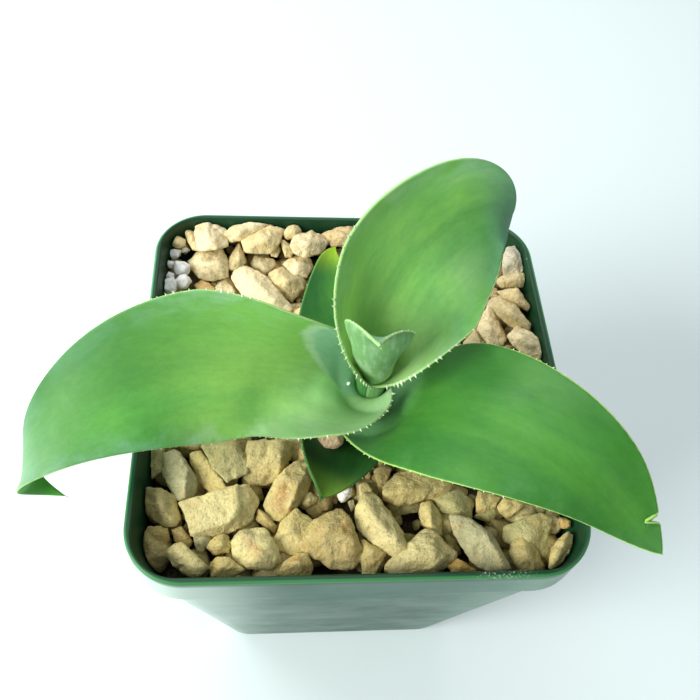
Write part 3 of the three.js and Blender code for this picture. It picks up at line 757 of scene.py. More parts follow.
    def blade(self) -> None:
        """Builds the blade: rings of points run over the inner face and back along the outer face."""
        form = self.form
        u = np.linspace(0, 1, self.rows)
        s = 1 - (1 - u) ** 1.25
        s[-1] = 1 - 0.2 / form.length
        x = np.linspace(-1, 1, self.columns + 1)
        t = np.sin(math.pi / 2 * x)[None] * np.ones((self.rows, 1))
        middle = self.surface(s, t)
        foot = middle[0].copy()
        foot[:, 2] = LEAF_FOOT
        sheath_rows = max(2, int((form.base_height + POT_HEIGHT - LEAF_FOOT) / 0.8))
        shares = np.arange(sheath_rows)[:, None, None] / sheath_rows
        middle = np.concatenate([foot[None] * (1 - shares) + middle[:1] * shares, middle])
        s_all = np.concatenate([np.zeros(sheath_rows), s])
        t_all = np.concatenate([np.repeat(t[:1], sheath_rows, 0), t])
        normal = np.cross(np.gradient(middle, axis=0), np.gradient(middle, axis=1))
        normal /= np.linalg.norm(normal, axis=-1, keepdims=True)
        half = self.half_thickness(s_all, t_all)[..., None]
        inner = middle + normal * half
        outer = middle - normal * half
        rings = np.concatenate([inner, outer[:, -2:0:-1]], axis=1)
        levels, count = rings.shape[:2]
        tip = self.spine[-1] + self.frame_at(np.ones(1))[0][0] * self.form.spine
        base = rings[0].mean(0)
        points = np.vstack([rings.reshape(-1, 3), tip, base])
        tip_index = levels * count
        quads = ring_faces(levels, count)
        k = np.arange(count)
        top = np.stack([(levels - 1) * count + k, (levels - 1) * count + (k + 1) % count, np.full(count, tip_index)], -1)
        # The foot is closed by strips between the two faces, because its section is a thin curved band.
        j = np.arange(self.columns)
        inner_now = j
        inner_next = j + 1
        outer_now = np.where(j == 0, 0, count - j)
        outer_next = np.where(j + 1 == self.columns, self.columns, count - j - 1)
        strips = np.stack([inner_now, outer_now, outer_next, inner_next], -1)
        faces = [list(map(int, q)) for q in quads[:, ::-1]] + [list(map(int, q)) for q in top[:, ::-1]]
        for strip in strips[:, ::-1]:
            corners = list(dict.fromkeys(map(int, strip)))
            faces.append(corners)
        points = points[:-1]
        mesh = bpy.data.meshes.new(form.name)
        mesh.from_pydata((points * MM).tolist(), [], faces)
        mesh.polygons.foreach_set("use_smooth", np.ones(len(mesh.polygons), bool))
        mesh.validate()
        mesh.update()
        self.piece = bpy.data.objects.new(f"{form.name}_blade", mesh)
        bpy.context.scene.collection.objects.link(self.piece)
        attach(self.piece, BODY)
        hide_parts(form.name)

        width = self.half_width(s_all)[:, None]
        along = np.broadcast_to((s_all * form.length)[:, None], t_all.shape)
        margin = (1 - np.abs(t_all)) * width
        data = np.stack([along, t_all * width, margin], -1)
        side = np.stack([np.ones_like(t_all), np.broadcast_to(s_all[:, None], t_all.shape), t_all], -1)
        other = side.copy()
        other[..., 0] = 0
        blade = np.concatenate([data, data[:, -2:0:-1]], 1).reshape(-1, 3)
        face = np.concatenate([side, other[:, -2:0:-1]], 1).reshape(-1, 3)
        add_vectors(self.piece, "blade", np.vstack([blade, [form.length, 0, 0]]))
        add_vectors(self.piece, "face", np.vstack([face, [1, 1, 0]]))

    def teeth_piece(self) -> bpy.types.Object:
        """Sets small hooked teeth along both margins: cones with six sides and a bent tip.

        Returns:
            The piece that holds all the leaf's teeth.
        """
        form = self.form
        draw = seeded_draws(int(form.finish.seed) + 5)
        fine = np.linspace(0, 1, 1200)
        points = []
        faces = []
        for side, (begin, end) in ((-1.0, form.teeth.right), (1.0, form.teeth.left)):
            edge = self.surface(fine, np.array([side]))[:, 0]
            inside = self.surface(fine, np.array([side * 0.97]))[:, 0]
            travelled = np.concatenate([[0], np.cumsum(np.linalg.norm(np.diff(edge, axis=0), axis=1))])
            at = np.interp(begin, fine, travelled)
            stop = np.interp(end, fine, travelled)
            while at < stop:
                row = int(np.interp(at, travelled, np.arange(len(fine))))
                row = min(max(row, 1), len(fine) - 2)
                forward = edge[row + 1] - edge[row - 1]
                forward /= np.linalg.norm(forward)
                outward = edge[row] - inside[row]
                outward -= forward * (outward @ forward)
                outward /= np.linalg.norm(outward)
                outward -= np.cross(forward, outward) * side * form.teeth.splay
                outward /= np.linalg.norm(outward)
                sideways = np.cross(forward, outward)
                fade = 1 - 0.6 * (at - np.interp(begin, fine, travelled)) / (stop - np.interp(begin, fine, travelled) + 1e-6)
                height = form.teeth.height * (0.35 + 0.85 * draw()) * fade
                lean = 0.15 + 0.5 * draw()
                for level, (up, radius) in enumerate(((-0.35, 1.5), (0.25, 0.85), (0.7, 0.36))):
                    centre = edge[row] + outward * height * up + forward * height * lean * max(up, 0) ** 2
                    turn = np.arange(6) * math.pi / 3
                    ring = centre + (
                        np.cos(turn)[:, None] * forward * radius * height * 0.42
                        + np.sin(turn)[:, None] * sideways * radius * min(height * 0.3, 0.22)
                    )
                    points.append(ring)
                points.append((edge[row] + outward * height * 1.15 + forward * height * lean * 1.3)[None])
                start = sum(len(p) for p in points) - 19
                quads = ring_faces(3, 6, start)
                faces += [list(map(int, q)) for q in quads[:, ::-1]]
                k = np.arange(6)
                cap = np.stack([start + 12 + k, start + 12 + (k + 1) % 6, np.full(6, start + 18)], -1)
                faces += [list(map(int, q)) for q in cap[:, ::-1]]
                faces.append([start + int(i) for i in range(6)])
                at += form.teeth.pitch * (0.65 + 0.7 * draw())
        mesh = bpy.data.meshes.new(f"{form.name}_teeth")
        mesh.from_pydata((np.vstack(points) * MM).tolist(), [], faces)
        mesh.polygons.foreach_set("use_smooth", np.ones(len(mesh.polygons), bool))
        mesh.update()
        piece = bpy.data.objects.new(f"{form.name}_teeth", mesh)
        bpy.context.scene.collection.objects.link(piece)
        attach(piece, BODY)
        return piece

    def skin(self) -> bpy.types.Material:
        """The blade's finish: mottled green with fine lines, a waxy bloom, and a cream margin, under painted light and
        painted shade.

        Returns:
            The material.
        """
        finish = self.form.finish
        shader = Shader(f"{self.form.name}_skin")
        along, across, margin = shader.parts(shader.stored("blade"))
        inner, s, t = shader.parts(shader.stored("face"))
        flat = shader.vector(along, across, finish.seed)
        stretched = shader.vector(shader.math("MULTIPLY", along, 0.12), across, finish.seed)
        mottle = shader.noise(shader.vector(shader.math("MULTIPLY", along, 0.45), across, finish.seed), 0.12, 3, 0.55)
        patch = shader.rise(mottle, 0.36, 0.64)
        green = shader.mix(patch, finish.dark, finish.light)
        middle = shader.rise(shader.math("ABSOLUTE", t), 0.75, 0.0)
        streak = shader.math("MULTIPLY", middle, shader.rise(shader.noise(stretched, 0.35, 2), 0.3, 0.7))
        green = shader.mix(shader.math("MULTIPLY", streak, finish.streak_share), green, finish.streak)
        bloom_noise = shader.noise(flat, 0.16, 4, 0.6, 0.4)
        bloom = shader.math("MULTIPLY", shader.rise(margin, 7.0, 0.0), shader.rise(bloom_noise, 0.38, 0.7))
        green = shader.mix(shader.math("MULTIPLY", bloom, finish.bloom_share), green, finish.bloom)
        # Painted light and painted shade towards each margin, for how the blade faces the lamps.
        for tint, low, high in ((finish.left, 0.0, 0.8), (finish.right, 0.0, -0.8)):
            if tint != (1.0, 1.0, 1.0):
                green = shader.mix(shader.rise(t, low, high), green, shader.mix(1.0, green, tint, "MULTIPLY"))
        # Painted shade far along the blade.
        far = shader.rise(s, finish.far_from, finish.far_from + 0.25)
        green = shader.mix(shader.math("MULTIPLY", far, inner), green, shader.mix(1.0, green, finish.far, "MULTIPLY"))
        # The root colour: partly the leaf's bloom, partly painted light that lifts the shade deep in the rosette.
        root_at = shader.math("ADD", shader.math("MULTIPLY_ADD", t, finish.root_slant, s), 0.0)
        root = shader.rise(root_at, finish.root_from, 0.0)
        green = shader.mix(shader.math("MULTIPLY", root, finish.root_share), green, finish.root)
        # Patches of painted light and painted shade.
        for shading_patch in finish.shading_patches:
            near = [
                shader.rise(shader.math("ABSOLUTE", shader.math("SUBTRACT", place, middle)), reach, reach * 0.25)
                for place, middle, reach in ((s, shading_patch.s, shading_patch.s_reach), (t, shading_patch.t, shading_patch.t_reach))
            ]
            green = shader.mix(shader.math("MULTIPLY", *near), green, shader.mix(1.0, green, shading_patch.tint, "MULTIPLY"))
        # Painted shade: a teal channel where the blade's base folds up, with a pale line along its edge.
        if finish.fold_shade:
            bend = shader.math("MULTIPLY", t, shader.math("MULTIPLY_ADD", t, 0.2, 0.3))
            past = shader.math("ADD", shader.math("ADD", s, bend), -0.113)
            past = shader.math("MULTIPLY_ADD", shader.noise(flat, 0.5, 2), 0.02, past)
            fold_shade_mask = shader.math("MULTIPLY", shader.rise(past, 0.004, -0.016), shader.rise(t, 0.3, 0.0))
            green = shader.mix(shader.math("MULTIPLY", fold_shade_mask, finish.fold_shade), green, (0.23, 0.50, 0.30))
            crest = shader.math("MULTIPLY", shader.rise(past, 0.018, 0.002), shader.rise(past, -0.016, -0.004))
            crest = shader.math("MULTIPLY", crest, shader.rise(t, 0.1, -0.2, 0.0, 0.5))
            green = shader.mix(crest, green, (0.46, 0.68, 0.44))
        outer = shader.mix(shader.rise(mottle, 0.3, 0.7, 0.0, 0.15), finish.outer, finish.bloom)
        # Painted light: the root colour is laid on the outer face too, where it lies in shade.
        outer = shader.mix(shader.math("MULTIPLY", root, finish.outer_root), outer, finish.root)
        # Painted shade on the outer face at the foot of the sheath.
        outer = shader.mix(shader.rise(s, 0.03, 0.0, 0.0, 0.75), outer, (0.06, 0.22, 0.05))
        green = shader.mix(inner, outer, green)
        tip = shader.math("MULTIPLY", shader.rise(s, finish.tip_from, 1.0), inner)
        green = shader.mix(shader.math("MULTIPLY", tip, finish.tip_share), green, finish.tip)
        lines = shader.noise(stretched, 2.2, 3, 0.6)
        green = shader.mix(0.35, green, shader.mix(lines, (0.42, 0.42, 0.42), (0.58, 0.58, 0.58)), "OVERLAY")
        grain = shader.noise(shader.vector(shader.math("MULTIPLY", along, 0.5), across, finish.seed), 1.1, 4, 0.75)
        grain = shader.mix(shader.rise(grain, 0.3, 0.7), (0.44, 0.44, 0.44), (0.56, 0.56, 0.56))
        green = shader.mix(0.5, green, grain, "OVERLAY")
        brushed = shader.noise(shader.vector(shader.math("MULTIPLY", along, 0.2), across, finish.seed), 0.9, 3, 0.55)
        brushed = shader.math("MULTIPLY", shader.rise(brushed, 0.42, 0.7), finish.waxy)
        green = shader.mix(brushed, green, (0.46, 0.68, 0.46))
        wander = shader.math("MULTIPLY_ADD", shader.noise(flat, 0.9, 2), 0.2, -0.1)
        edge = shader.rise(shader.math("ADD", margin, wander), finish.margin_width, finish.margin_width * 0.3)
        edge = shader.math("MULTIPLY", edge, shader.rise(s, 0.0, 0.03))
        colour = shader.mix(edge, green, finish.margin)
        bloom_gloss = shader.rise(bloom_noise, 0.3, 0.8, finish.roughness - 0.06, finish.roughness + 0.12)
        normal = shader.bump(lines, 0.05, 0.35)
        normal = shader.bump(shader.noise(flat, 0.3, 3), 0.35, 0.3, normal)
        return shader.finish(
            colour, bloom_gloss, normal, Subsurface_Weight=0.12, Subsurface_Scale=0.002, Specular_IOR_Level=0.28,
        )

    def build(self, tooth_finish: bpy.types.Material) -> None:
        """Builds and dresses the blade and its teeth."""
        self.blade()
        self.piece.data.materials.append(self.skin())
        teeth = self.teeth_piece()
        teeth.data.materials.append(tooth_finish)
        log.info("%s: %d faces", self.piece.name, len(self.piece.data.polygons))


def tooth_finish() -> bpy.types.Material:
    """The horny cream of the teeth, browner in places."""
    shader = Shader("horny_teeth")
    tone = shader.rise(shader.noise(shader.place, 900, 2), 0.35, 0.7)
    colour = shader.mix(tone, (0.76, 0.86, 0.60), (0.56, 0.70, 0.40))
    return shader.finish(colour, 0.45)


def square_ring(width: float, corner: float, height: float, steps: int) -> np.ndarray:
    """A square with round corners, counter-clockwise, at a height.

    Args:
        width: from side to side.
        corner: radius of its corners.
        height: of the whole ring.
        steps: pieces that each corner's arc is cut into.

    Returns:
        Points, one row each.
    """
    quarter, step = np.meshgrid(np.arange(4), np.arange(steps + 1), indexing="ij")
    turn = (math.pi / 2) * (quarter + step / steps)
    straight = width / 2 - corner
    x = straight * np.where((quarter == 0) | (quarter == 3), 1, -1) + corner * np.cos(turn)
    y = straight * np.where(quarter < 2, 1, -1) + corner * np.sin(turn)
    return np.stack([x, y, np.full(x.shape, height)], -1).reshape(-1, 3)


def wall_at(height: float) -> tuple[float, float]:
    """Width and corner radius of the pot's outer wall below the collar, at a height."""
    share = height / (POT_HEIGHT - COLLAR_HEIGHT)
    width = BASE_WIDTH + (RIM_WIDTH - 2 * COLLAR_STEP - BASE_WIDTH) * share
    return width, BASE_CORNER + (RIM_CORNER - COLLAR_STEP - BASE_CORNER) * share


def inside_size(height: float, inset: float) -> tuple[float, float]:
    """Width and corner radius of the space inside the pot at a height.

    Args:
        height: above the pot's foot.
        inset: distance in from the outer wall.

    Returns:
        The width and the corner radius.
    """
    foot = POT_HEIGHT - COLLAR_HEIGHT
    wall, corner = wall_at(min(height, foot))
    widest = RIM_WIDTH - 2 * RIM_LIP - 2 * (inset - WALL)
    above = min(1.0, max(0.0, height - foot) / COLLAR_HEIGHT)
    return wall - 2 * inset + (widest - wall + 2 * inset) * above, max(corner - inset, 1.0)


@dataclass
class Pot:
    """The moulded nursery pot: a thin tapered shell with a collar, a round lip and four drain holes."""

    corner_steps: int = 20
    rim_steps: int = 6

    def profile(self) -> list[np.ndarray]:
        """Rings of the shell, from the middle of its underside, up the outside and down the inside."""
        steps = self.corner_steps
        foot = POT_HEIGHT - COLLAR_HEIGHT
        rings = []
        for share in np.linspace(0, 1, 5):
            turn = share * math.pi / 2
            width, corner = wall_at(BASE_ROUND * (1 - math.cos(turn)))
            inset = BASE_ROUND * (1 - math.sin(turn))
            rings.append(square_ring(width - 2 * inset, corner - inset, BASE_ROUND * (1 - math.cos(turn)), steps))
        for height in np.linspace(BASE_ROUND, foot - COLLAR_STEP / 2, 30)[1:]:
            width, corner = wall_at(float(height))
            rings.append(square_ring(width, corner, float(height), steps))
        for height, inset in ((foot - 0.15, 0.12), (foot, 0.0), (foot + 0.4, 0.0)):
            rings.append(square_ring(RIM_WIDTH - 2 * inset, RIM_CORNER - inset, height, steps))
        for height in np.linspace(foot + 0.4, POT_HEIGHT - RIM_ROUND, 6)[1:]:
            rings.append(square_ring(RIM_WIDTH, RIM_CORNER, float(height), steps))
        for share in np.linspace(0, 1, self.rim_steps + 1)[1:]:
            turn = share * math.pi / 2
            inset = RIM_ROUND * (1 - math.cos(turn))
            height = POT_HEIGHT - RIM_ROUND * (1 - math.sin(turn))
            rings.append(square_ring(RIM_WIDTH - 2 * inset, RIM_CORNER - inset, height, steps))
        width, corner = inside_size(POT_HEIGHT, WALL)
        for share in np.linspace(0, 1, self.rim_steps + 1):
            turn = share * math.pi / 2
            out = RIM_ROUND * (1 - math.sin(turn))
            height = POT_HEIGHT - RIM_ROUND * (1 - math.cos(turn))
            rings.append(square_ring(width + 2 * out, corner + out, height, steps))
        for height in np.linspace(POT_HEIGHT - RIM_ROUND, FLOOR, 24)[1:]:
            width, corner = inside_size(float(height), WALL)
            rings.append(square_ring(width, corner, float(height), steps))
        return rings

    def build(self) -> None:
        """Lofts the shell, bores the drain holes and dresses it in green plastic."""
        rings = np.stack(self.profile())
        levels, count = rings.shape[:2]
        first = levels * count
        points = np.vstack([rings.reshape(-1, 3), [0, 0, 0], [0, 0, FLOOR]])
        k = np.arange(count)
        after = (k + 1) % count
        under = np.stack([np.full(count, first), after, k], -1)
        top = (levels - 1) * count
        floor = np.stack([np.full(count, first + 1), top + k, top + after], -1)
        faces = ring_faces(levels, count).tolist() + under.tolist() + floor.tolist()
        mesh = bpy.data.meshes.new("nursery_pot")
        mesh.from_pydata((points * MM).tolist(), [], faces)
        mesh.polygons.foreach_set("use_smooth", np.ones(len(mesh.polygons), bool))
        mesh.update()
        pot = bpy.data.objects.new("nursery_pot", mesh)
        bpy.context.scene.collection.objects.link(pot)
        self.bore(pot)
        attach(pot, BODY)
        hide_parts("pot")
        pot.data.materials.append(self.plastic())
        log.info("%s: %d faces", pot.name, len(pot.data.polygons))

    def bore(self, pot: bpy.types.Object) -> None:
        """Cuts the four drain holes with cylinders, then removes the cylinders."""
        cutters = []
        for right, back in ((1, 1), (-1, 1), (-1, -1), (1, -1)):
            bpy.ops.mesh.primitive_cylinder_add(
                vertices=48, radius=DRAIN_RADIUS * MM, depth=4 * FLOOR * MM,
                location=(right * DRAIN_OFFSET * MM, back * DRAIN_OFFSET * MM, FLOOR / 2 * MM),
            )
            cutters.append(bpy.context.object)
        for cutter in cutters:
            cut = pot.modifiers.new("drain", "BOOLEAN")
            cut.operation = "DIFFERENCE"
            cut.solver = "EXACT"
            cut.object = cutter
        bpy.context.view_layer.update()
        graph = bpy.context.evaluated_depsgraph_get()
        bored = bpy.data.meshes.new_from_object(pot.evaluated_get(graph))
        pot.modifiers.clear()
        pot.data = bored
        for cutter in cutters:
            bpy.data.objects.remove(cutter)
        bored.set_sharp_from_angle(angle=math.radians(32))
        places = np.empty(len(bored.vertices) * 3, np.float32)
        bored.vertices.foreach_get("co", places)
        places = places.reshape(-1, 3) / MM
        foot = POT_HEIGHT - COLLAR_HEIGHT
        sizes = np.array([wall_at(z) if z < foot - COLLAR_STEP / 2 else (RIM_WIDTH, RIM_CORNER) for z in places[:, 2]])
        flat = np.abs(places[:, :2])
        core = np.minimum(flat, (sizes[:, :1] / 2 - sizes[:, 1:]))
        depth = sizes[:, 1] - np.linalg.norm(flat - core, axis=1)
        # Marks the outer wall below the rim, where the plastic is painted lighter as a painted reflection of the floor;
        # depth also places the rim's painted highlight.
        outside = np.where(places[:, 2] > POT_HEIGHT - RIM_ROUND * 1.2, 0.0, (depth < WALL * 0.7).astype(float))
        add_vectors(pot, "outside", np.column_stack([outside, depth, places[:, 2]]))

    def plastic(self) -> bpy.types.Material:
        """Dark green moulded plastic with a fine skin, scuffs and dust. The outer wall is painted lighter, in streaks,
        and paler still at the front's left and right: a painted reflection of the pale floor. The rim's outer edge has
        a painted highlight, brighter at the back.
        """
        shader = Shader("green_plastic")
        x, y, z = shader.parts(shader.place)
        outside, depth, _ = shader.parts(shader.stored("outside"))
        cloud = shader.noise(shader.place, 60, 4, 0.6)
        colour = shader.mix(shader.rise(cloud, 0.3, 0.7), (0.004, 0.044, 0.017), (0.008, 0.062, 0.025))
        # Painted reflection: the outer wall is painted a lighter grey-green, in streaks, than the dark plastic.
        level = shader.noise(shader.vector(shader.math("MULTIPLY", x, 0.25), y, shader.math("MULTIPLY", z, 2.0)), 60, 3)
        wall = shader.mix(shader.rise(level, 0.35, 0.65), (0.027, 0.092, 0.064), (0.056, 0.135, 0.10))
        # Painted reflection of the pale floor: paler patches on the front wall towards its left and right.
        before = shader.math("SUBTRACT", shader.math("MULTIPLY", y, -1.0), shader.math("ABSOLUTE", x))
        front = shader.rise(before, -0.007, 0.0)
        left = shader.math("MULTIPLY", shader.rise(x, -0.012, -0.040), front)
        wall = shader.mix(left, wall, (0.50, 0.62, 0.55))
        right = shader.math("MULTIPLY", shader.rise(x, 0.015, 0.042), front)
        wall = shader.mix(right, wall, (0.24, 0.38, 0.30))
        colour = shader.mix(outside, colour, wall)
        # Painted highlight: a brighter green line along the rim's outer edge, brighter towards the back.
        lip = shader.math("MULTIPLY", shader.rise(depth, 0.65, 0.25), shader.rise(z, 0.0870, 0.0875))
        rim_highlight_green = shader.mix(shader.rise(y, 0.0, 0.03), (0.05, 0.24, 0.075), (0.09, 0.38, 0.15))
        colour = shader.mix(shader.math("MULTIPLY", lip, 0.85), colour, rim_highlight_green)
        specks = shader.cells(shader.place, 420)
        dust = shader.math("MULTIPLY", shader.rise(specks, 0.16, 0.06), shader.rise(cloud, 0.52, 0.62))
        colour = shader.mix(shader.math("MULTIPLY", dust, 0.35), colour, (0.55, 0.52, 0.45))
        on_rim = shader.math("MULTIPLY", shader.rise(x, 0.019, 0.023), shader.rise(x, 0.034, 0.027))
        on_rim = shader.math("MULTIPLY", on_rim, shader.rise(y, -0.0415, -0.0425))
        on_rim = shader.math("MULTIPLY", on_rim, shader.rise(z, 0.0868, 0.0872))
        crumbs = shader.rise(shader.noise(shader.place, 2400, 3, 0.7), 0.56, 0.66, 0.0, 0.8)
        colour = shader.mix(shader.math("MULTIPLY", on_rim, crumbs), colour, (0.66, 0.66, 0.58))
        grain = shader.noise(shader.place, 1500, 2)
        roughness = shader.rise(cloud, 0.3, 0.75, 0.34, 0.5)
        normal = shader.bump(grain, 0.03, 0.25)
        return shader.finish(colour, roughness, normal, Specular_IOR_Level=0.35)


SIGHT_LEVEL = POT_HEIGHT - 4
EYE = np.array([-16.25, -87.08, POT_HEIGHT + 141.05])


class Tint(Enum):
    """Base colours of the stones."""

    PALE = (0.64, 0.53, 0.235)
    TAN = (0.55, 0.435, 0.165)
    OLIVE = (0.42, 0.375, 0.155)
    BROWN = (0.46, 0.345, 0.125)
    ORANGE = (0.60, 0.37, 0.10)
    GREY = (0.42, 0.385, 0.21)
    # Painted light: the rose stone on the front leaf is painted brighter, against the shade of the leaf over it.
    ROSE_BRIGHTENED = (0.88, 0.64, 0.38)
    WHITE = (0.84, 0.82, 0.78)


@dataclass(frozen=True)
class Stone:
    """One stone of the rule: its middle, length, width and turn."""

    x: float
    y: float
    length: float
    width: float
    turn: float


@dataclass(frozen=True)
class Resting:
    """A stone that lies on a leaf: the leaf, where its line of sight meets the gravel's level, and its length."""

    leaf: str
    seen: tuple[float, float]
    length: float
    tint: Tint


@dataclass(frozen=True)
class Rock:
    """A stone as it is seen: its corners, each where its line of sight meets the gravel's level, and its height.

    The first two numbers of a corner are millimetres from the pot's middle at the gravel's level, and the
    third is how far the corner itself lies over that level.
    """

    tint: Tint
    corners: tuple[tuple[float, float, float], ...]


@dataclass(frozen=True)
class Stain:
    """A rusty streak on the stones, between two places at the gravel's level, with a radius."""

    start: tuple[float, float]
    end: tuple[float, float]
    radius: float
    strength: float = 1.0


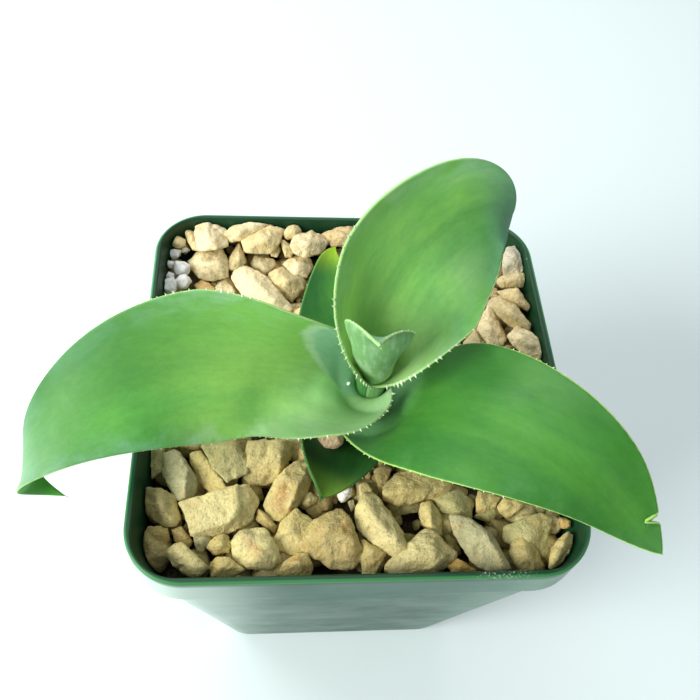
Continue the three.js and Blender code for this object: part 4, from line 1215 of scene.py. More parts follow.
FRONT_ROCKS = (
    # Front left corner.
    Rock(Tint.GREY, ((-38.9, -16.8, -1.5), (-36.8, -16.2, -1), (-35.6, -16.8, -1.5), (-34.2, -20, 0), (-31.8, -23.4, -3),
                     (-32.6, -26.4, -3.5), (-34.2, -26, -0.8), (-35.8, -26.4, -2), (-38.6, -21.5, -2.5),
                     (-34.3, -23.2, 0.3))),
    Rock(Tint.TAN, ((-41.8, -24, -1.5), (-42.2, -26.5, -3), (-41, -29.5, -3.5), (-38, -31.8, -3), (-35.2, -32.1, -2),
                    (-34.7, -30.5, -2.5), (-36, -26.2, -2), (-38.7, -24.6, -0.5), (-38.7, -27.5, 0.3))),
    Rock(Tint.OLIVE, ((-41.5, -16, -3), (-39.2, -16, -2), (-38.8, -20.5, -3), (-40.8, -22.2, -4), (-41.3, -19.5, -3))),
    Rock(Tint.TAN, ((-33.4, -17.3, -1.5), (-31.5, -16.5, -1), (-27.4, -22.2, -1), (-26, -24.2, -1.5), (-29.2, -25.4, -3),
                    (-30.8, -23.8, -3.5), (-33.2, -19.4, -3.5))),
    Rock(Tint.OLIVE, ((-31.4, -15.5, 0), (-30, -12, -0.6), (-26, -12, 0), (-24.8, -16, 0.4), (-22.4, -18.6, -0.5),
                      (-22.3, -21.3, -1.2), (-24.8, -21.8, -1), (-26.2, -22.8, -1), (-28.6, -20.4, -0.3))),
    Rock(Tint.TAN, ((-22.2, -14, -0.5), (-15.2, -14, -0.5), (-21.7, -18.2, 0.5), (-15.7, -18.4, 0.5), (-22.7, -22.2, -3),
                    (-21.4, -23.3, -3.4), (-19, -23.9, -3.8), (-16.6, -23.4, -3.5), (-15.2, -20.5, -2),
                    (-13.3, -14.5, -3.5), (-13.8, -18.2, -3.5))),
    Rock(Tint.PALE, ((-34.9, -27.3, -0.2), (-29.5, -25.6, 0.2), (-24.5, -24, 0.6), (-23.7, -27.5, 0.9), (-25, -30.8, 0.4),
                     (-32.4, -33.5, -0.6), (-21.8, -23.9, -1.6), (-20.2, -27, -2.2), (-20.9, -30.2, -2.5),
                     (-22.6, -32.2, -2.6), (-25, -33.3, -2.8), (-31.3, -34.7, -2.8))),
    Rock(Tint.GREY, ((-31.8, -34.6, -2), (-31.2, -37.4, -4), (-30, -37.2, -4), (-28.6, -34.3, -2.5),
                     (-30.3, -34.2, -1.5))),
    Rock(Tint.TAN, ((-28.3, -34.3, -2), (-26.3, -33.5, -2), (-24.6, -35.8, -2.5), (-25.2, -37.4, -3), (-28, -37.8, -3.5),
                    (-29.6, -36.5, -3), (-26.8, -35.5, -0.6))),
    Rock(Tint.BROWN, ((-40.6, -32.2, -3), (-37, -32.2, -2.5), (-36.3, -34.8, -4), (-38.5, -36.6, -5), (-41, -35.5, -5),
                      (-38.8, -33.4, -2))),
    Rock(Tint.BROWN, ((-36.1, -32.8, -3), (-34.3, -32.3, -2.5), (-32.2, -35, -3), (-32.9, -36.6, -4.5),
                      (-35.4, -35, -4), (-34, -33.8, -2))),
    Rock(Tint.PALE, ((-37.2, -37.4, -2.5), (-35.8, -35.6, -1.2), (-34, -35.3, -1), (-31.2, -37.9, -0.5),
                     (-28.9, -40.2, -1.5), (-30.4, -41.4, -2.8), (-31.8, -42, -3.5), (-34.8, -40.2, -3.2),
                     (-34, -37.5, -0.2), (-31.5, -39.8, -0.4))),
    Rock(Tint.TAN, ((-28.7, -39.4, -3), (-27.4, -38.1, -1.5), (-25.2, -38.4, -1.2), (-22.2, -40.8, -2.5),
                    (-24.5, -41.9, -3.5), (-28.4, -42.1, -4), (-26.5, -40, -0.6))),
    Rock(Tint.PALE, ((-24.8, -35.4, -1.8), (-23.6, -33.4, -1.2), (-20.8, -32.7, -1), (-18.4, -32.9, -1),
                     (-16.4, -35.8, -1.2), (-15.7, -38.7, -2.5), (-17.3, -40.5, -3.2), (-22, -40.4, -3),
                     (-24.4, -38.4, -2.5), (-21.5, -35, 0.2), (-18.2, -36, 0.3), (-19.5, -38.8, -0.4))),
    # Front middle.
    Rock(Tint.TAN, ((-12.4, -18.8, -1), (-10.4, -19.2, -1.2), (-9.4, -22.4, -2.2), (-11, -26.8, -3), (-13, -28.9, -3),
                    (-15.5, -31.4, -3.2), (-18, -30.2, -3), (-18.8, -27.9, -2.5), (-16.9, -23.6, -0.8),
                    (-14.6, -22.2, 0.8), (-12.1, -23.8, 1), (-13.4, -27.4, -0.3), (-14.4, -20.3, 0))),
    Rock(Tint.BROWN, ((-19.9, -29, -2), (-18.4, -29.8, -2), (-16.3, -32.2, -2.5), (-16.9, -33.8, -3.8), (-20.2, -31, -3.5),
                      (-18.5, -31, -1.6))),
    Rock(Tint.TAN, ((-12.6, -29, -1), (-9.2, -31.6, -1.4), (-12, -35.4, -1), (-11.4, -37.4, -2.8), (-13.4, -37.9, -3.2),
                    (-16.4, -36.8, -3), (-16.8, -34.8, -2), (-15.2, -31.4, -1), (-13.5, -33, 0))),
    Rock(Tint.BROWN, ((-9, -31.5, -0.8), (-5.6, -29.7, -0.8), (-3.8, -29.2, -1), (-2, -31.3, -0.2), (-6.4, -32.8, 1.2),
                      (-7.6, -34.8, 0.8), (-12.3, -35.8, -1.6), (-10.8, -37.7, -2.6), (-6.5, -40.4, -2.8),
                      (-2.6, -41, -3.2), (-0.5, -39, -3), (-0.4, -36.6, -1.8), (-2.2, -35, 0.6))),
    Rock(Tint.TAN, ((-16.2, -41.6, -4), (-14.8, -39.4, -2.2), (-12.5, -37.9, -1.5), (-10.6, -37.8, -1.8),
                    (-9.7, -40.4, -3), (-9.9, -42.2, -4.5), (-14, -42.6, -5), (-12.2, -39.6, -0.9))),
    Rock(Tint.BROWN, ((-10.5, -29.3, -4.5), (-8.8, -28, -4), (-7.3, -28.6, -4.2), (-7.4, -30, -5), (-9, -31, -5))),
    Rock(Tint.PALE, ((-10.9, -25.8, -3), (-9.8, -25.4, -2.6), (-8.2, -26.6, -3), (-8.8, -27.8, -3.8), (-10.2, -28.7, -4),
                     (-11.8, -27.6, -3.6), (-10, -27, -2))),
    Rock(Tint.WHITE, ((-4.6, -26, -4), (-3.5, -25.2, -3.5), (-1.5, -24.8, -3.5), (-1.2, -26.2, -4), (-2.8, -27.5, -4.6),
                      (-3.8, -27.8, -4.6), (-2.8, -26.2, -2.9))),
    Rock(Tint.GREY, ((-2.4, -27.6, -4.5), (-1.2, -27, -4.2), (-0.9, -29, -4.8), (-1.8, -29.5, -5))),
    Rock(Tint.PALE, ((0.9, -26.1, -1), (2.8, -26, -1), (6.4, -30.9, -1), (8.2, -34.7, -1.2), (8.6, -37.6, -2),
                     (6.4, -38.8, -2.6), (2, -36.3, -2.4), (-0.6, -33.2, -2.2), (-1, -30.4, -1.8), (2.2, -30.5, 0.9),
                     (6.3, -35.3, 0.7))),
    Rock(Tint.TAN, ((0, -24, -2.4), (1.5, -23.4, -2), (2.9, -24.8, -2.4), (2.4, -26.2, -3), (0, -26.6, -3.4))),
    Rock(Tint.TAN, ((5.2, -24.4, -1), (7.5, -21.8, -0.6), (12, -21, -0.6), (18.5, -24, -1), (18.2, -25.8, -2),
                    (14.4, -27.2, -2.6), (8, -28.6, -3.2), (4.8, -27.3, -2.8), (5.4, -25.8, -0.4), (9.6, -25.4, 0.8),
                    (15, -25.2, 0.2))),
    Rock(Tint.BROWN, ((3.2, -21, -2.4), (5.4, -19.6, -2), (7, -20.6, -2), (6.2, -22.2, -2.6), (5, -24.4, -3.2),
                      (3.9, -24.4, -3.4))),
    Rock(Tint.OLIVE, ((5, -28.3, -4.5), (8.5, -28.8, -4.2), (12, -28, -4.5), (11.5, -29.8, -5), (8.5, -30.4, -5.2),
                      (6, -30.6, -5.2))),
    Rock(Tint.TAN, ((12, -28.2, -2), (14.3, -27.4, -1.5), (15.7, -30, -2.5), (15.6, -34.9, -3), (14, -34, -2),
                    (11.9, -32.4, -3), (11.6, -30.6, -3), (14, -29.8, -0.6), (13.8, -32.5, -0.8))),
    Rock(Tint.OLIVE, ((14.7, -27.3, -2), (18.3, -26.2, -0.8), (20.2, -25.2, -1.2), (22.8, -28.4, -2.8), (22, -31.3, -3.4),
                      (19.6, -31.4, -2.8), (16, -29.8, -3), (18.9, -28.6, -0.3))),
    Rock(Tint.PALE, ((12.2, -33.4, -0.8), (13.8, -33.8, -1), (18, -38.4, -1.8), (17, -40.2, -3), (12.6, -42.4, -3.4),
                     (9.2, -42, -3), (13.2, -37.6, 1), (13.6, -40.4, -0.4), (9, -38.4, -0.6), (4.8, -39.8, -2.2),
                     (4.3, -41.3, -3), (5.6, -42.3, -3.6))),
    Rock(Tint.TAN, ((0, -35.4, -2), (4.4, -38.2, -2), (3.2, -40, -3), (1.8, -42.4, -4.4), (-0.2, -42.2, -4.4),
                    (-0.4, -39, -3), (1.6, -38, -1.2))),
    Rock(Tint.ORANGE, ((16, -40.9, -3), (18.1, -39.4, -2.2), (21.8, -42, -3.6), (18.2, -42.6, -4.2), (16.8, -42, -4),
                       (18.6, -40.9, -1.8))),
    Rock(Tint.OLIVE, ((16, -35, -4.2), (17.2, -34.8, -4), (19, -37.5, -4.4), (18.6, -38.6, -5), (17, -37, -4.2))),
    # Front right corner.
    Rock(Tint.GREY, ((17.6, -30.9, -0.8), (21.6, -31.3, -0.2), (24, -33.2, 0.2), (25.2, -36.5, 0.2), (27.2, -40.9, -0.6),
                     (28.2, -41.4, -2), (25.6, -35, -2.2), (25.4, -42.1, -3), (22.6, -41.6, -3), (20.4, -39.4, -2.6),
                     (18.4, -34.8, -2))),
    Rock(Tint.TAN, ((23.5, -27.4, -1.5), (24.2, -25.6, -1.2), (28.6, -27.2, -1.5), (26.8, -29.2, -2.4),
                    (24.6, -30.3, -3), (23.1, -30.2, -3), (25, -27.8, -0.6))),
    Rock(Tint.OLIVE, ((23, -30.6, -3), (26.6, -29.3, -2.8), (27.3, -30.6, -3.4), (26, -32.5, -4.4), (22.6, -31.2, -4),
                      (25, -30.8, -2.2))),
    Rock(Tint.OLIVE, ((25, -32.5, -4), (26.3, -32.6, -4), (26.9, -34, -4.4), (26.4, -35.2, -5))),
    Rock(Tint.TAN, ((27.5, -29.1, -2), (29.2, -27.2, -1.2), (33.4, -28.8, -1.8), (31, -30.4, -2.6), (29.2, -31.6, -3.4),
                    (28.2, -30.9, -3), (29.8, -29, -0.8))),
    Rock(Tint.OLIVE, ((27.4, -35.8, -3), (28.6, -33.2, -1.8), (32, -32.2, -1), (36, -30.8, -1), (38.1, -31.6, -1.4),
                      (36.4, -35.2, -2.2), (35.9, -38.8, -3.2), (34.8, -39.4, -3.4), (33, -35.5, -0.6),
                      (29, -36.8, -3))),
    Rock(Tint.OLIVE, ((30, -32.3, -2.6), (31.6, -31, -2), (33.5, -30.8, -1.8), (34.9, -31.5, -2), (33, -32.6, -2.4))),
    Rock(Tint.TAN, ((28.4, -38.4, -3), (29.6, -36, -1.8), (31.8, -35.4, -1.2), (34, -37.6, -1.8), (35, -41.4, -3.4),
                    (33, -42.8, -4.4), (29.4, -42.6, -4.6), (31.6, -38.6, 0.2))),
    Rock(Tint.TAN, ((40.9, -34.6, -2), (41.8, -35.4, -3), (41.2, -37.6, -3.5), (39, -40.3, -4), (36.8, -41.9, -4.2),
                    (35.7, -41.4, -3.6), (37, -38, -2.6), (39.6, -35.3, -1.8), (39.4, -37.2, -1), (37.4, -39.8, -1.6))),
    Rock(Tint.GREY, ((38.4, -31.2, -3), (39.9, -31.9, -3.2), (39.4, -34.2, -4), (38.4, -34.9, -4.4),
                     (37.2, -34.8, -4))),
    Rock(Tint.ORANGE, ((39.9, -31.6, -3), (41.9, -32.4, -3), (41.5, -33.6, -3.8), (39.8, -33.6, -3.8))),
    Rock(Tint.ORANGE, ((36.7, -35.5, -4), (38.2, -35.3, -4), (36.9, -37.3, -4.6), (36.5, -36.6, -4.6))),
)

BACK_ROCKS = (
    # Back left.
    Rock(Tint.PALE, ((-36.1, 45.4, -2), (-34.5, 46.2, -1.6), (-32, 45.4, -1.6), (-29.3, 43.6, -2), (-28.4, 38, -2),
                     (-34.9, 36.6, -1.8), (-36.2, 40.5, -2.2), (-33.2, 42.5, 0), (-31, 37, -0.8))),
    Rock(Tint.PALE, ((-37.3, 33.2, -2), (-35, 36, -1), (-29.6, 36.8, -1), (-28.2, 33, -1.4), (-27.9, 28.6, -2.6),
                     (-31.5, 27.6, -3), (-34.2, 27.8, -3), (-36.2, 30.4, -2.6), (-34, 32.6, 0.6), (-30, 31.5, 0.6))),
    Rock(Tint.TAN, ((-41.8, 40, -3), (-40.6, 41.1, -2.6), (-38.6, 39.6, -3), (-38.4, 38, -3.4), (-39.8, 37.1, -3.8),
                    (-41.4, 37.8, -3.6), (-40, 39.2, -2))),
    Rock(Tint.TAN, ((-38.8, 42.4, -2.6), (-37.8, 43.1, -2.4), (-36.7, 42.2, -2.4), (-35, 36.4, -2.8), (-36.6, 36.8, -3.2),
                    (-38.2, 40.2, -3), (-37, 40.4, -1.8))),
    Rock(Tint.PALE, ((-29.3, 41.5, -1.6), (-27.6, 44.2, -1), (-21, 46.6, -1), (-17.8, 45.9, -1.4), (-21.4, 42.6, -2),
                     (-25.6, 39.7, -2.6), (-27.6, 39.3, -2.6), (-25, 43, 0.2))),
    Rock(Tint.TAN, ((-25, 39.7, -1.8), (-20.4, 43.2, -1), (-18.6, 44.7, -1.4), (-14.8, 43.6, -1.4), (-16.4, 38.6, -1.6),
                    (-18.4, 36.2, -2.8), (-23.6, 36.4, -2.8), (-20, 40, 0.2))),
    Rock(Tint.TAN, ((-15.4, 42, -1.8), (-14.2, 44, -1.4), (-12.9, 45.5, -1.4), (-11.8, 45.2, -1.6), (-10.6, 43.2, -2),
                    (-12, 41, -2.4), (-14, 40.5, -2.4), (-13, 43, -0.4))),
    Rock(Tint.PALE, ((-18.4, 37.5, -2), (-17.4, 39.3, -1.6), (-16.2, 38.8, -1.8), (-15.8, 36.8, -2.4), (-16.6, 35, -3),
                     (-17.8, 35.2, -3))),
    Rock(Tint.TAN, ((-15.6, 39.6, -2.2), (-14.8, 40, -2), (-13.4, 38.4, -2.2), (-12.6, 36.2, -2.6), (-13.2, 35, -3),
                    (-14.6, 35, -3), (-14.6, 37.4, -1.4))),
    Rock(Tint.PALE, ((-13, 39, -1.6), (-11.8, 41.4, -1.2), (-8, 43, -1), (-4, 40, -1.6), (-6, 36.4, -2.4),
                     (-10, 34.8, -2.6), (-12.4, 36.4, -2.4), (-9, 39.4, 0.2))),
    Rock(Tint.BROWN, ((-5.8, 41.8, -2), (-3.6, 43.6, -1.6), (2, 46, -1.4), (3.5, 42, -1.6), (0, 39, -2),
                      (-3.4, 38.6, -2.4), (-1, 41.6, -0.6))),
    Rock(Tint.TAN, ((-25.7, 38.8, -2), (-23.6, 33.4, -2.6), (-25.4, 31, -3.2), (-27.9, 31, -3.4), (-27.6, 35, -2.8),
                    (-25.6, 34.4, -1.2))),
    Rock(Tint.PALE, ((-22.8, 32.6, -2.4), (-21.8, 34.9, -1.8), (-17.4, 34.2, -1.8), (-16.6, 32.2, -2.4),
                     (-19.3, 29.6, -3), (-22.2, 31.2, -3), (-20, 33, -0.8))),
    Rock(Tint.PALE, ((-15.2, 32.6, -1.8), (-12.6, 35.4, -1), (-9, 35.2, -1.2), (-8, 32.4, -1.4), (-9.6, 28.6, -1.8),
                     (-12.4, 29.2, -1), (-11.8, 32.4, 0.6))),
    Rock(Tint.TAN, ((-18.4, 29.6, -1.8), (-15.4, 31.6, -1.2), (-10.2, 28, -1.6), (-10.2, 25.4, -2.4), (-13.2, 21.5, -3.6),
                    (-17, 24.6, -3.2), (-18.4, 27.4, -2.4), (-14.4, 27.6, 0.2))),
    Rock(Tint.PALE, ((-26.7, 28, -2), (-26, 31.4, -1.4), (-24, 32, -1.2), (-19.4, 29.2, -0.8), (-15, 22.4, -0.8),
                     (-12.8, 19.8, -1.8), (-16, 17.5, -2.6), (-23, 21, -2.6), (-21.5, 27, 0.8), (-17.5, 22.5, 0.4))),
    Rock(Tint.PALE, ((-31, 25.4, -3), (-29.8, 27, -2.4), (-28.2, 27.6, -2.4), (-26.8, 25.6, -2.6), (-26, 24, -3),
                     (-29, 22.6, -3.6))),
    Rock(Tint.ORANGE, ((-35.6, 26, -3.2), (-34, 27.4, -3), (-32, 26.6, -3), (-30.6, 24.8, -3.4), (-33, 23, -4))),
    # Right side.
    Rock(Tint.GREY, ((38.6, 34, -1.4), (40.4, 38.6, -1.4), (42.6, 39.4, -1.6), (44, 36, -2), (43.6, 31.8, -2),
                     (38.4, 32.6, -1), (38.2, 29.8, -3), (41, 29.6, -3), (41, 35, 0))),
    Rock(Tint.TAN, ((36.2, 28.2, -2), (38, 30, -1.4), (43.2, 30.8, -2), (43.6, 28.6, -2.4), (42.2, 26.6, -3),
                    (37, 26.4, -3), (40, 28.6, -0.6))),
    Rock(Tint.TAN, ((36, 25, -2.6), (40.8, 26.2, -1.6), (43.2, 20.6, -2.4), (42, 19.6, -3), (39.8, 21.8, -2),
                    (37, 23, -3), (40.6, 23.6, -0.6))),
    Rock(Tint.TAN, ((34.3, 20.6, -2), (36.4, 22.6, -1.4), (39.6, 21, -1.2), (42, 16, -2), (41.6, 13.8, -2.8),
                    (37, 15.4, -2.8), (35.2, 17.8, -2.6), (38, 18.8, 0.6))),
    Rock(Tint.PALE, ((33, 20.6, -1.6), (34.4, 17.6, -1.6), (35.9, 12, -2), (34.8, 9.8, -2.6), (31.6, 9.8, -2.4),
                     (29.4, 14, -1.8), (31.4, 18.4, -1.4), (32.6, 14.4, 0.4))),
    Rock(Tint.TAN, ((25.6, 10.4, -2), (28, 13, -1.6), (29.2, 13.6, -1.6), (29.9, 11, -2), (29, 8, -2.8), (26, 8, -2.8))),
    Rock(Tint.PALE, ((36.4, 12, -2), (39.2, 14.8, -1.2), (42.4, 13, -1.6), (44.8, 9, -2.4), (44.4, 6.2, -3),
                     (40, 6.8, -2.6), (37.4, 9.4, -2.6), (40.4, 11.2, 0.4))),
    Rock(Tint.PALE, ((41.6, 6, -2.4), (45, 5, -2.4), (45.4, 2.4, -3), (43, 1, -3.2), (41, 3, -3))),
)

STAINS = (
    Stain((-16.2, -28), (-14.6, -24.4), 2.2),
    Stain((-22.4, -34.8), (-19, -37.6), 0.8, 0.9),
    Stain((-20.8, -37.6), (-18.6, -38.2), 1.4, 0.5),
    Stain((-3, -32.2), (-2.8, -34), 1.0, 0.9),
    Stain((-4.2, -38), (-3.4, -38.6), 1.2, 0.5),
    Stain((-13.6, -39), (-12, -38.7), 0.9, 1.0),
    Stain((-8.4, -33.6), (-7.8, -34.4), 1.2, 0.5),
    Stain((-2.6, 38.6), (-1.2, 39), 1.4, 0.6),
    Stain((11, -37.8), (11.2, -37.9), 0.3, 0.8),
)

GRAINS = (
    Stone(-40.9, 36.4, 3.5, 2.9, 10),
    Stone(-38.4, 37.6, 1.9, 1.7, 50),
    Stone(-41.6, 33.2, 2.2, 1.8, 100),
    Stone(-38.8, 31.8, 4.1, 3.8, 150),
    Stone(-38.3, 28.0, 3.3, 2.9, 200),
    Stone(-41.4, 29.4, 2.2, 2.0, 250),
    Stone(-41.2, 26.4, 3.4, 4.6, 0),
)

ON_LEAVES = (
    Resting("leaf_small_front", (-5.2, -13.6), 5.4, Tint.ROSE_BRIGHTENED),
    Resting("leaf_left", (-0.9, -0.4), 0.9, Tint.WHITE),
)


def on_sight_line(places: np.ndarray, heights: np.ndarray) -> np.ndarray:
    """Finds points by their line of sight.

    Args:
        places: x and y where each line of sight meets the gravel's level, in millimetres.
        heights: height of each point over that level.

    Returns:
        The points, one row each.
    """
    seen = np.column_stack([places, np.full(len(places), SIGHT_LEVEL)])
    ray = seen - EYE
    return seen + ray * (heights / ray[:, 2])[:, None]


def seen_at(points: np.ndarray) -> np.ndarray:
    """Gives x and y where the line of sight through each point meets the gravel's level."""
    ray = points - EYE
    return (points + ray * ((SIGHT_LEVEL - points[:, 2]) / ray[:, 2])[:, None])[:, :2]


def flat_faces(points: np.ndarray) -> tuple[np.ndarray, np.ndarray]:
    """Finds the flat faces of the convex body round some points.

    A face is a plane through three of the points with all the others behind it.

    Args:
        points: places, one row each.

    Returns:
        Unit normals that point outwards, and the planes' distances from the origin.
    """
    first, second, third = np.array(list(itertools.combinations(range(len(points)), 3))).T
    normal = np.cross(points[second] - points[first], points[third] - points[first])
    size = np.linalg.norm(normal, axis=1)
    first = first[size > 1e-3]
    normal = normal[size > 1e-3] / size[size > 1e-3, None]
    offset = np.sum(normal * points[first], axis=1)
    side = points @ normal.T - offset
    behind = side.max(0) < 1e-4
    ahead = side.min(0) > -1e-4
    planes = np.vstack([
        np.column_stack([normal[behind], offset[behind]]),
        -np.column_stack([normal[ahead], offset[ahead]]),
    ])
    planes = np.unique(np.round(planes, 3), axis=0)
    return planes[:, :3], planes[:, 3]


def cube_ball(squares: int) -> tuple[np.ndarray, np.ndarray]:
    """A unit ball drawn from a cube's six faces, each a grid of squares, so that it has no poles.

    Args:
        squares: squares along a side of the cube.

    Returns:
        Points on the ball and faces of four corners that point outwards.
    """
    line = np.tan(np.linspace(-1, 1, squares + 1) * math.pi / 4)
    a, b = np.meshgrid(line, line, indexing="ij")
    one = np.ones_like(a)
    sides = [(one, a, b), (-one, b, a), (b, one, a), (a, -one, b), (a, b, one), (b, a, -one)]
    points = np.concatenate([np.stack(side, -1).reshape(-1, 3) for side in sides])
    row, column = np.meshgrid(np.arange(squares), np.arange(squares), indexing="ij")
    width = squares + 1
    quad = np.stack(
        [row * width + column, (row + 1) * width + column, (row + 1) * width + column + 1, row * width + column + 1],
        -1,
    ).reshape(-1, 4)
    faces = np.concatenate([quad + k * width * width for k in range(6)])
    _, first, inverse = np.unique(np.round(points, 6), axis=0, return_index=True, return_inverse=True)
    points = points[first]
    faces = inverse.ravel()[faces]
    return points / np.linalg.norm(points, axis=1, keepdims=True), faces


@dataclass
class Rubble:
    """Broken stones: bodies with flat faces, whose edges are worn and whose faces are rough."""

    face_count: int = 13
    shortest_reach: float = 0.74
    around_shake: float = 0.9
    tallest: float = 9.0
    golden_angle: float = 2.39996
    hidden_share: float = 0.82
    hidden_drop: float = 5.0
    sharpness: float = 80.0
    fullness: float = 1.07
    wall: float = RIM_WIDTH / 2 - RIM_LIP - GAP
    highest_rise: float = 3.8
    squares_per_mm: float = 1.7
    fewest_squares: int = 11
    most_squares: int = 28

    def cut(self, ball: np.ndarray, normals: np.ndarray, offsets: np.ndarray) -> tuple[np.ndarray, np.ndarray]:
        """Reaches out from the middle to the nearest flat face in each direction.

        The reach is the least of offset / cosine over the faces. A soft least rounds the edges between them.

        Args:
            ball: unit directions, one row each.
            normals: unit normals of the faces.
            offsets: their distances from the middle.

        Returns:
            The points, and how near each is to an edge, from 0 to 1.
        """
        facing = np.clip(ball @ normals.T, 0, None) / offsets
        power = facing**self.sharpness
        total = power.sum(1)
        edge = np.clip(2 - 2 * power.max(1) / total, 0, 1)
        return ball * (total ** (-1 / self.sharpness))[:, None], edge

    def worn(self, points: np.ndarray, edge: np.ndarray, seed: int, roughness: float) -> np.ndarray:
        """Roughens a stone round its middle: swells, grains, and chips along the edges.

        Args:
            points: the stone's points round its middle.
            edge: how near each is to an edge.
            seed: picks the bumps.
            roughness: height of the bumps in millimetres.

        Returns:
            The roughened points.
        """
        shift = np.array([seed * 3.7, seed * 1.3, seed * 0.7])
        coarse = layered_noise(points * 0.3 + shift, 2, seed)
        fine = layered_noise(points * 0.95 + shift, 3, seed + 9)
        chips = np.clip(layered_noise(points * 0.7 - shift, 2, seed + 23), 0, 1) * edge
        creases = np.abs(layered_noise(points * 0.42 - shift, 3, seed + 41))
        push = (coarse * 0.35 + fine * 0.4 + creases * 0.35 - chips * 0.9) * roughness
        return points + points / np.linalg.norm(points, axis=1, keepdims=True) * push[:, None]

    def seen(self, rock: Rock, seed: int, roughness: float) -> tuple[np.ndarray, np.ndarray, np.ndarray]:
        """One stone from its seen corners: the hidden ones are the same, drawn in and lower on their sight lines.

        Args:
            rock: its corners.
            seed: picks its bumps.
            roughness: height of its bumps in millimetres.

        Returns:
            Points at their place, faces, and how near each point is to an edge.
        """
        corners = np.array(rock.corners)
        places = corners[:, :2]
        middle = places.mean(0)
        front = on_sight_line(places, corners[:, 2])
        hidden = on_sight_line(middle + self.hidden_share * (places - middle), corners[:, 2] - self.hidden_drop)
        body = np.vstack([front, hidden])
        centre = body.mean(0)
        extent = np.ptp(body, axis=0)
        squares = int(np.clip(extent.max() * self.squares_per_mm, self.fewest_squares, self.most_squares))
        ball, faces = cube_ball(squares)
        away = ball * extent
        away /= np.linalg.norm(away, axis=1, keepdims=True)
        points, edge = self.cut(away, *flat_faces((body - centre) * self.fullness))
        placed = centre + self.worn(points, edge, seed, roughness)
        toward = (EYE - centre) / (EYE - centre)[2]
        past = (placed[:, :2].max(0) - self.wall) / np.abs(toward[:2])
        rise = min(max(past.max(), 0.0), self.highest_rise)
        return placed + toward * rise, faces, edge

    def drawn(self, stone: Stone, seed: int, grain: Grain, roughness: float) -> tuple:
        """One stone of the rule, with its faces turned at random.

        Args:
            stone: its place and size.
            seed: picks its flat faces.
            grain: how finely it is divided.
            roughness: height of its bumps in millimetres.

        Returns:
            Points with the stone's middle at height 0, faces, and how near each point is to an edge.
        """
        draw = seeded_draws(seed)
        ball, faces = cube_ball(grain.value)
        count = np.arange(self.face_count)
        up = 2 * (count + 0.5) / self.face_count - 1
        level = np.sqrt(1 - up * up)
        around = count * self.golden_angle + np.array([draw() for _ in count]) * self.around_shake
        offsets = self.shortest_reach + (1 - self.shortest_reach) * np.array([draw() for _ in count])
        normals = np.stack([level * np.cos(around), level * np.sin(around), up], -1)
        points, edge = self.cut(ball, normals, offsets)
        height = min(min(stone.length, stone.width) * (0.8 + 0.25 * draw()), self.tallest)
        points *= np.array([stone.length, stone.width, height]) / 2
        tilt = math.radians(10 * (draw() - 0.5))
        points = points @ np.array(Matrix.Rotation(tilt, 3, "Y")).T
        points = points @ np.array(Matrix.Rotation(math.radians(stone.turn), 3, "Z")).T
        return self.worn(points, edge, seed, roughness) + np.array([stone.x, stone.y, 0]), faces, edge


def held_inside(points: np.ndarray, inset: float) -> np.ndarray:
    """Moves points that are past the pot's inner wall back to it, along the shortest way.

    Args:
        points: places in millimetres.
        inset: distance in from the outer wall.

    Returns:
        The places, none past the wall.
    """
    heights = np.clip(points[:, 2], FLOOR, POT_HEIGHT)
    sizes = np.array([inside_size(float(h), inset) for h in np.linspace(FLOOR, POT_HEIGHT, 60)])
    levels = np.linspace(FLOOR, POT_HEIGHT, 60)
    half = np.interp(heights, levels, sizes[:, 0]) / 2
    corner = np.interp(heights, levels, sizes[:, 1])
    flat = points[:, :2]
    core = np.clip(flat, -(half - corner)[:, None], (half - corner)[:, None])
    away = flat - core
    distance = np.linalg.norm(away, axis=1)
    scale = np.where(distance > corner, corner / np.maximum(distance, 1e-9), 1.0)
    held = points.copy()
    held[:, :2] = core + away * scale[:, None]
    return held


@dataclass
class Heap:
    """Stones gathered into one piece, with a tint and wear for each point."""

    points: list[np.ndarray] = field(default_factory=list)
    faces: list[np.ndarray] = field(default_factory=list)
    tints: list[np.ndarray] = field(default_factory=list)
    wear: list[np.ndarray] = field(default_factory=list)
    count: int = 0

    def add(self, points: np.ndarray, faces: np.ndarray, edge: np.ndarray, tint: np.ndarray, chance: float) -> None:
        """Adds one stone at its place.

        Args:
            points: its points.
            faces: its faces.
            edge: how near each point is to an edge.
            tint: its base colour.
            chance: a draw of its own, for its material.
        """
        self.points.append(points)
        self.faces.append(faces + self.count)
        self.tints.append(np.broadcast_to(tint, points.shape))
        self.wear.append(np.column_stack([stained(points), edge, np.full(len(points), chance)]))
        self.count += len(points)

    def piece(self, name: str, slot: str, material: bpy.types.Material) -> None:
        """Makes the piece and dresses it."""
        faces = np.vstack(self.faces)
        piece = make_piece(name, np.vstack(self.points), faces, slot, (slot,))
        add_vectors(piece, "tint", np.vstack(self.tints))
        add_vectors(piece, "wear", np.vstack(self.wear))
        piece.data.materials.append(material)
        log.info("%s: %d faces", name, len(faces))


def stained(points: np.ndarray) -> np.ndarray:
    """How strongly the rusty streaks show at places, from 0 to 1.

    A streak fades along a smooth step with the distance from its line, as it is seen.
    """
    seen = seen_at(points)
    total = np.zeros(len(points))
    for stain in STAINS:
        start = np.array(stain.start)
        line = np.array(stain.end) - start
        share = np.clip((seen - start) @ line / (line @ line), 0, 1)
        distance = np.linalg.norm(seen - start - share[:, None] * line, axis=1)
        total = np.maximum(total, stain.strength * smooth_step(distance, stain.radius, stain.radius * 0.3))
    return total


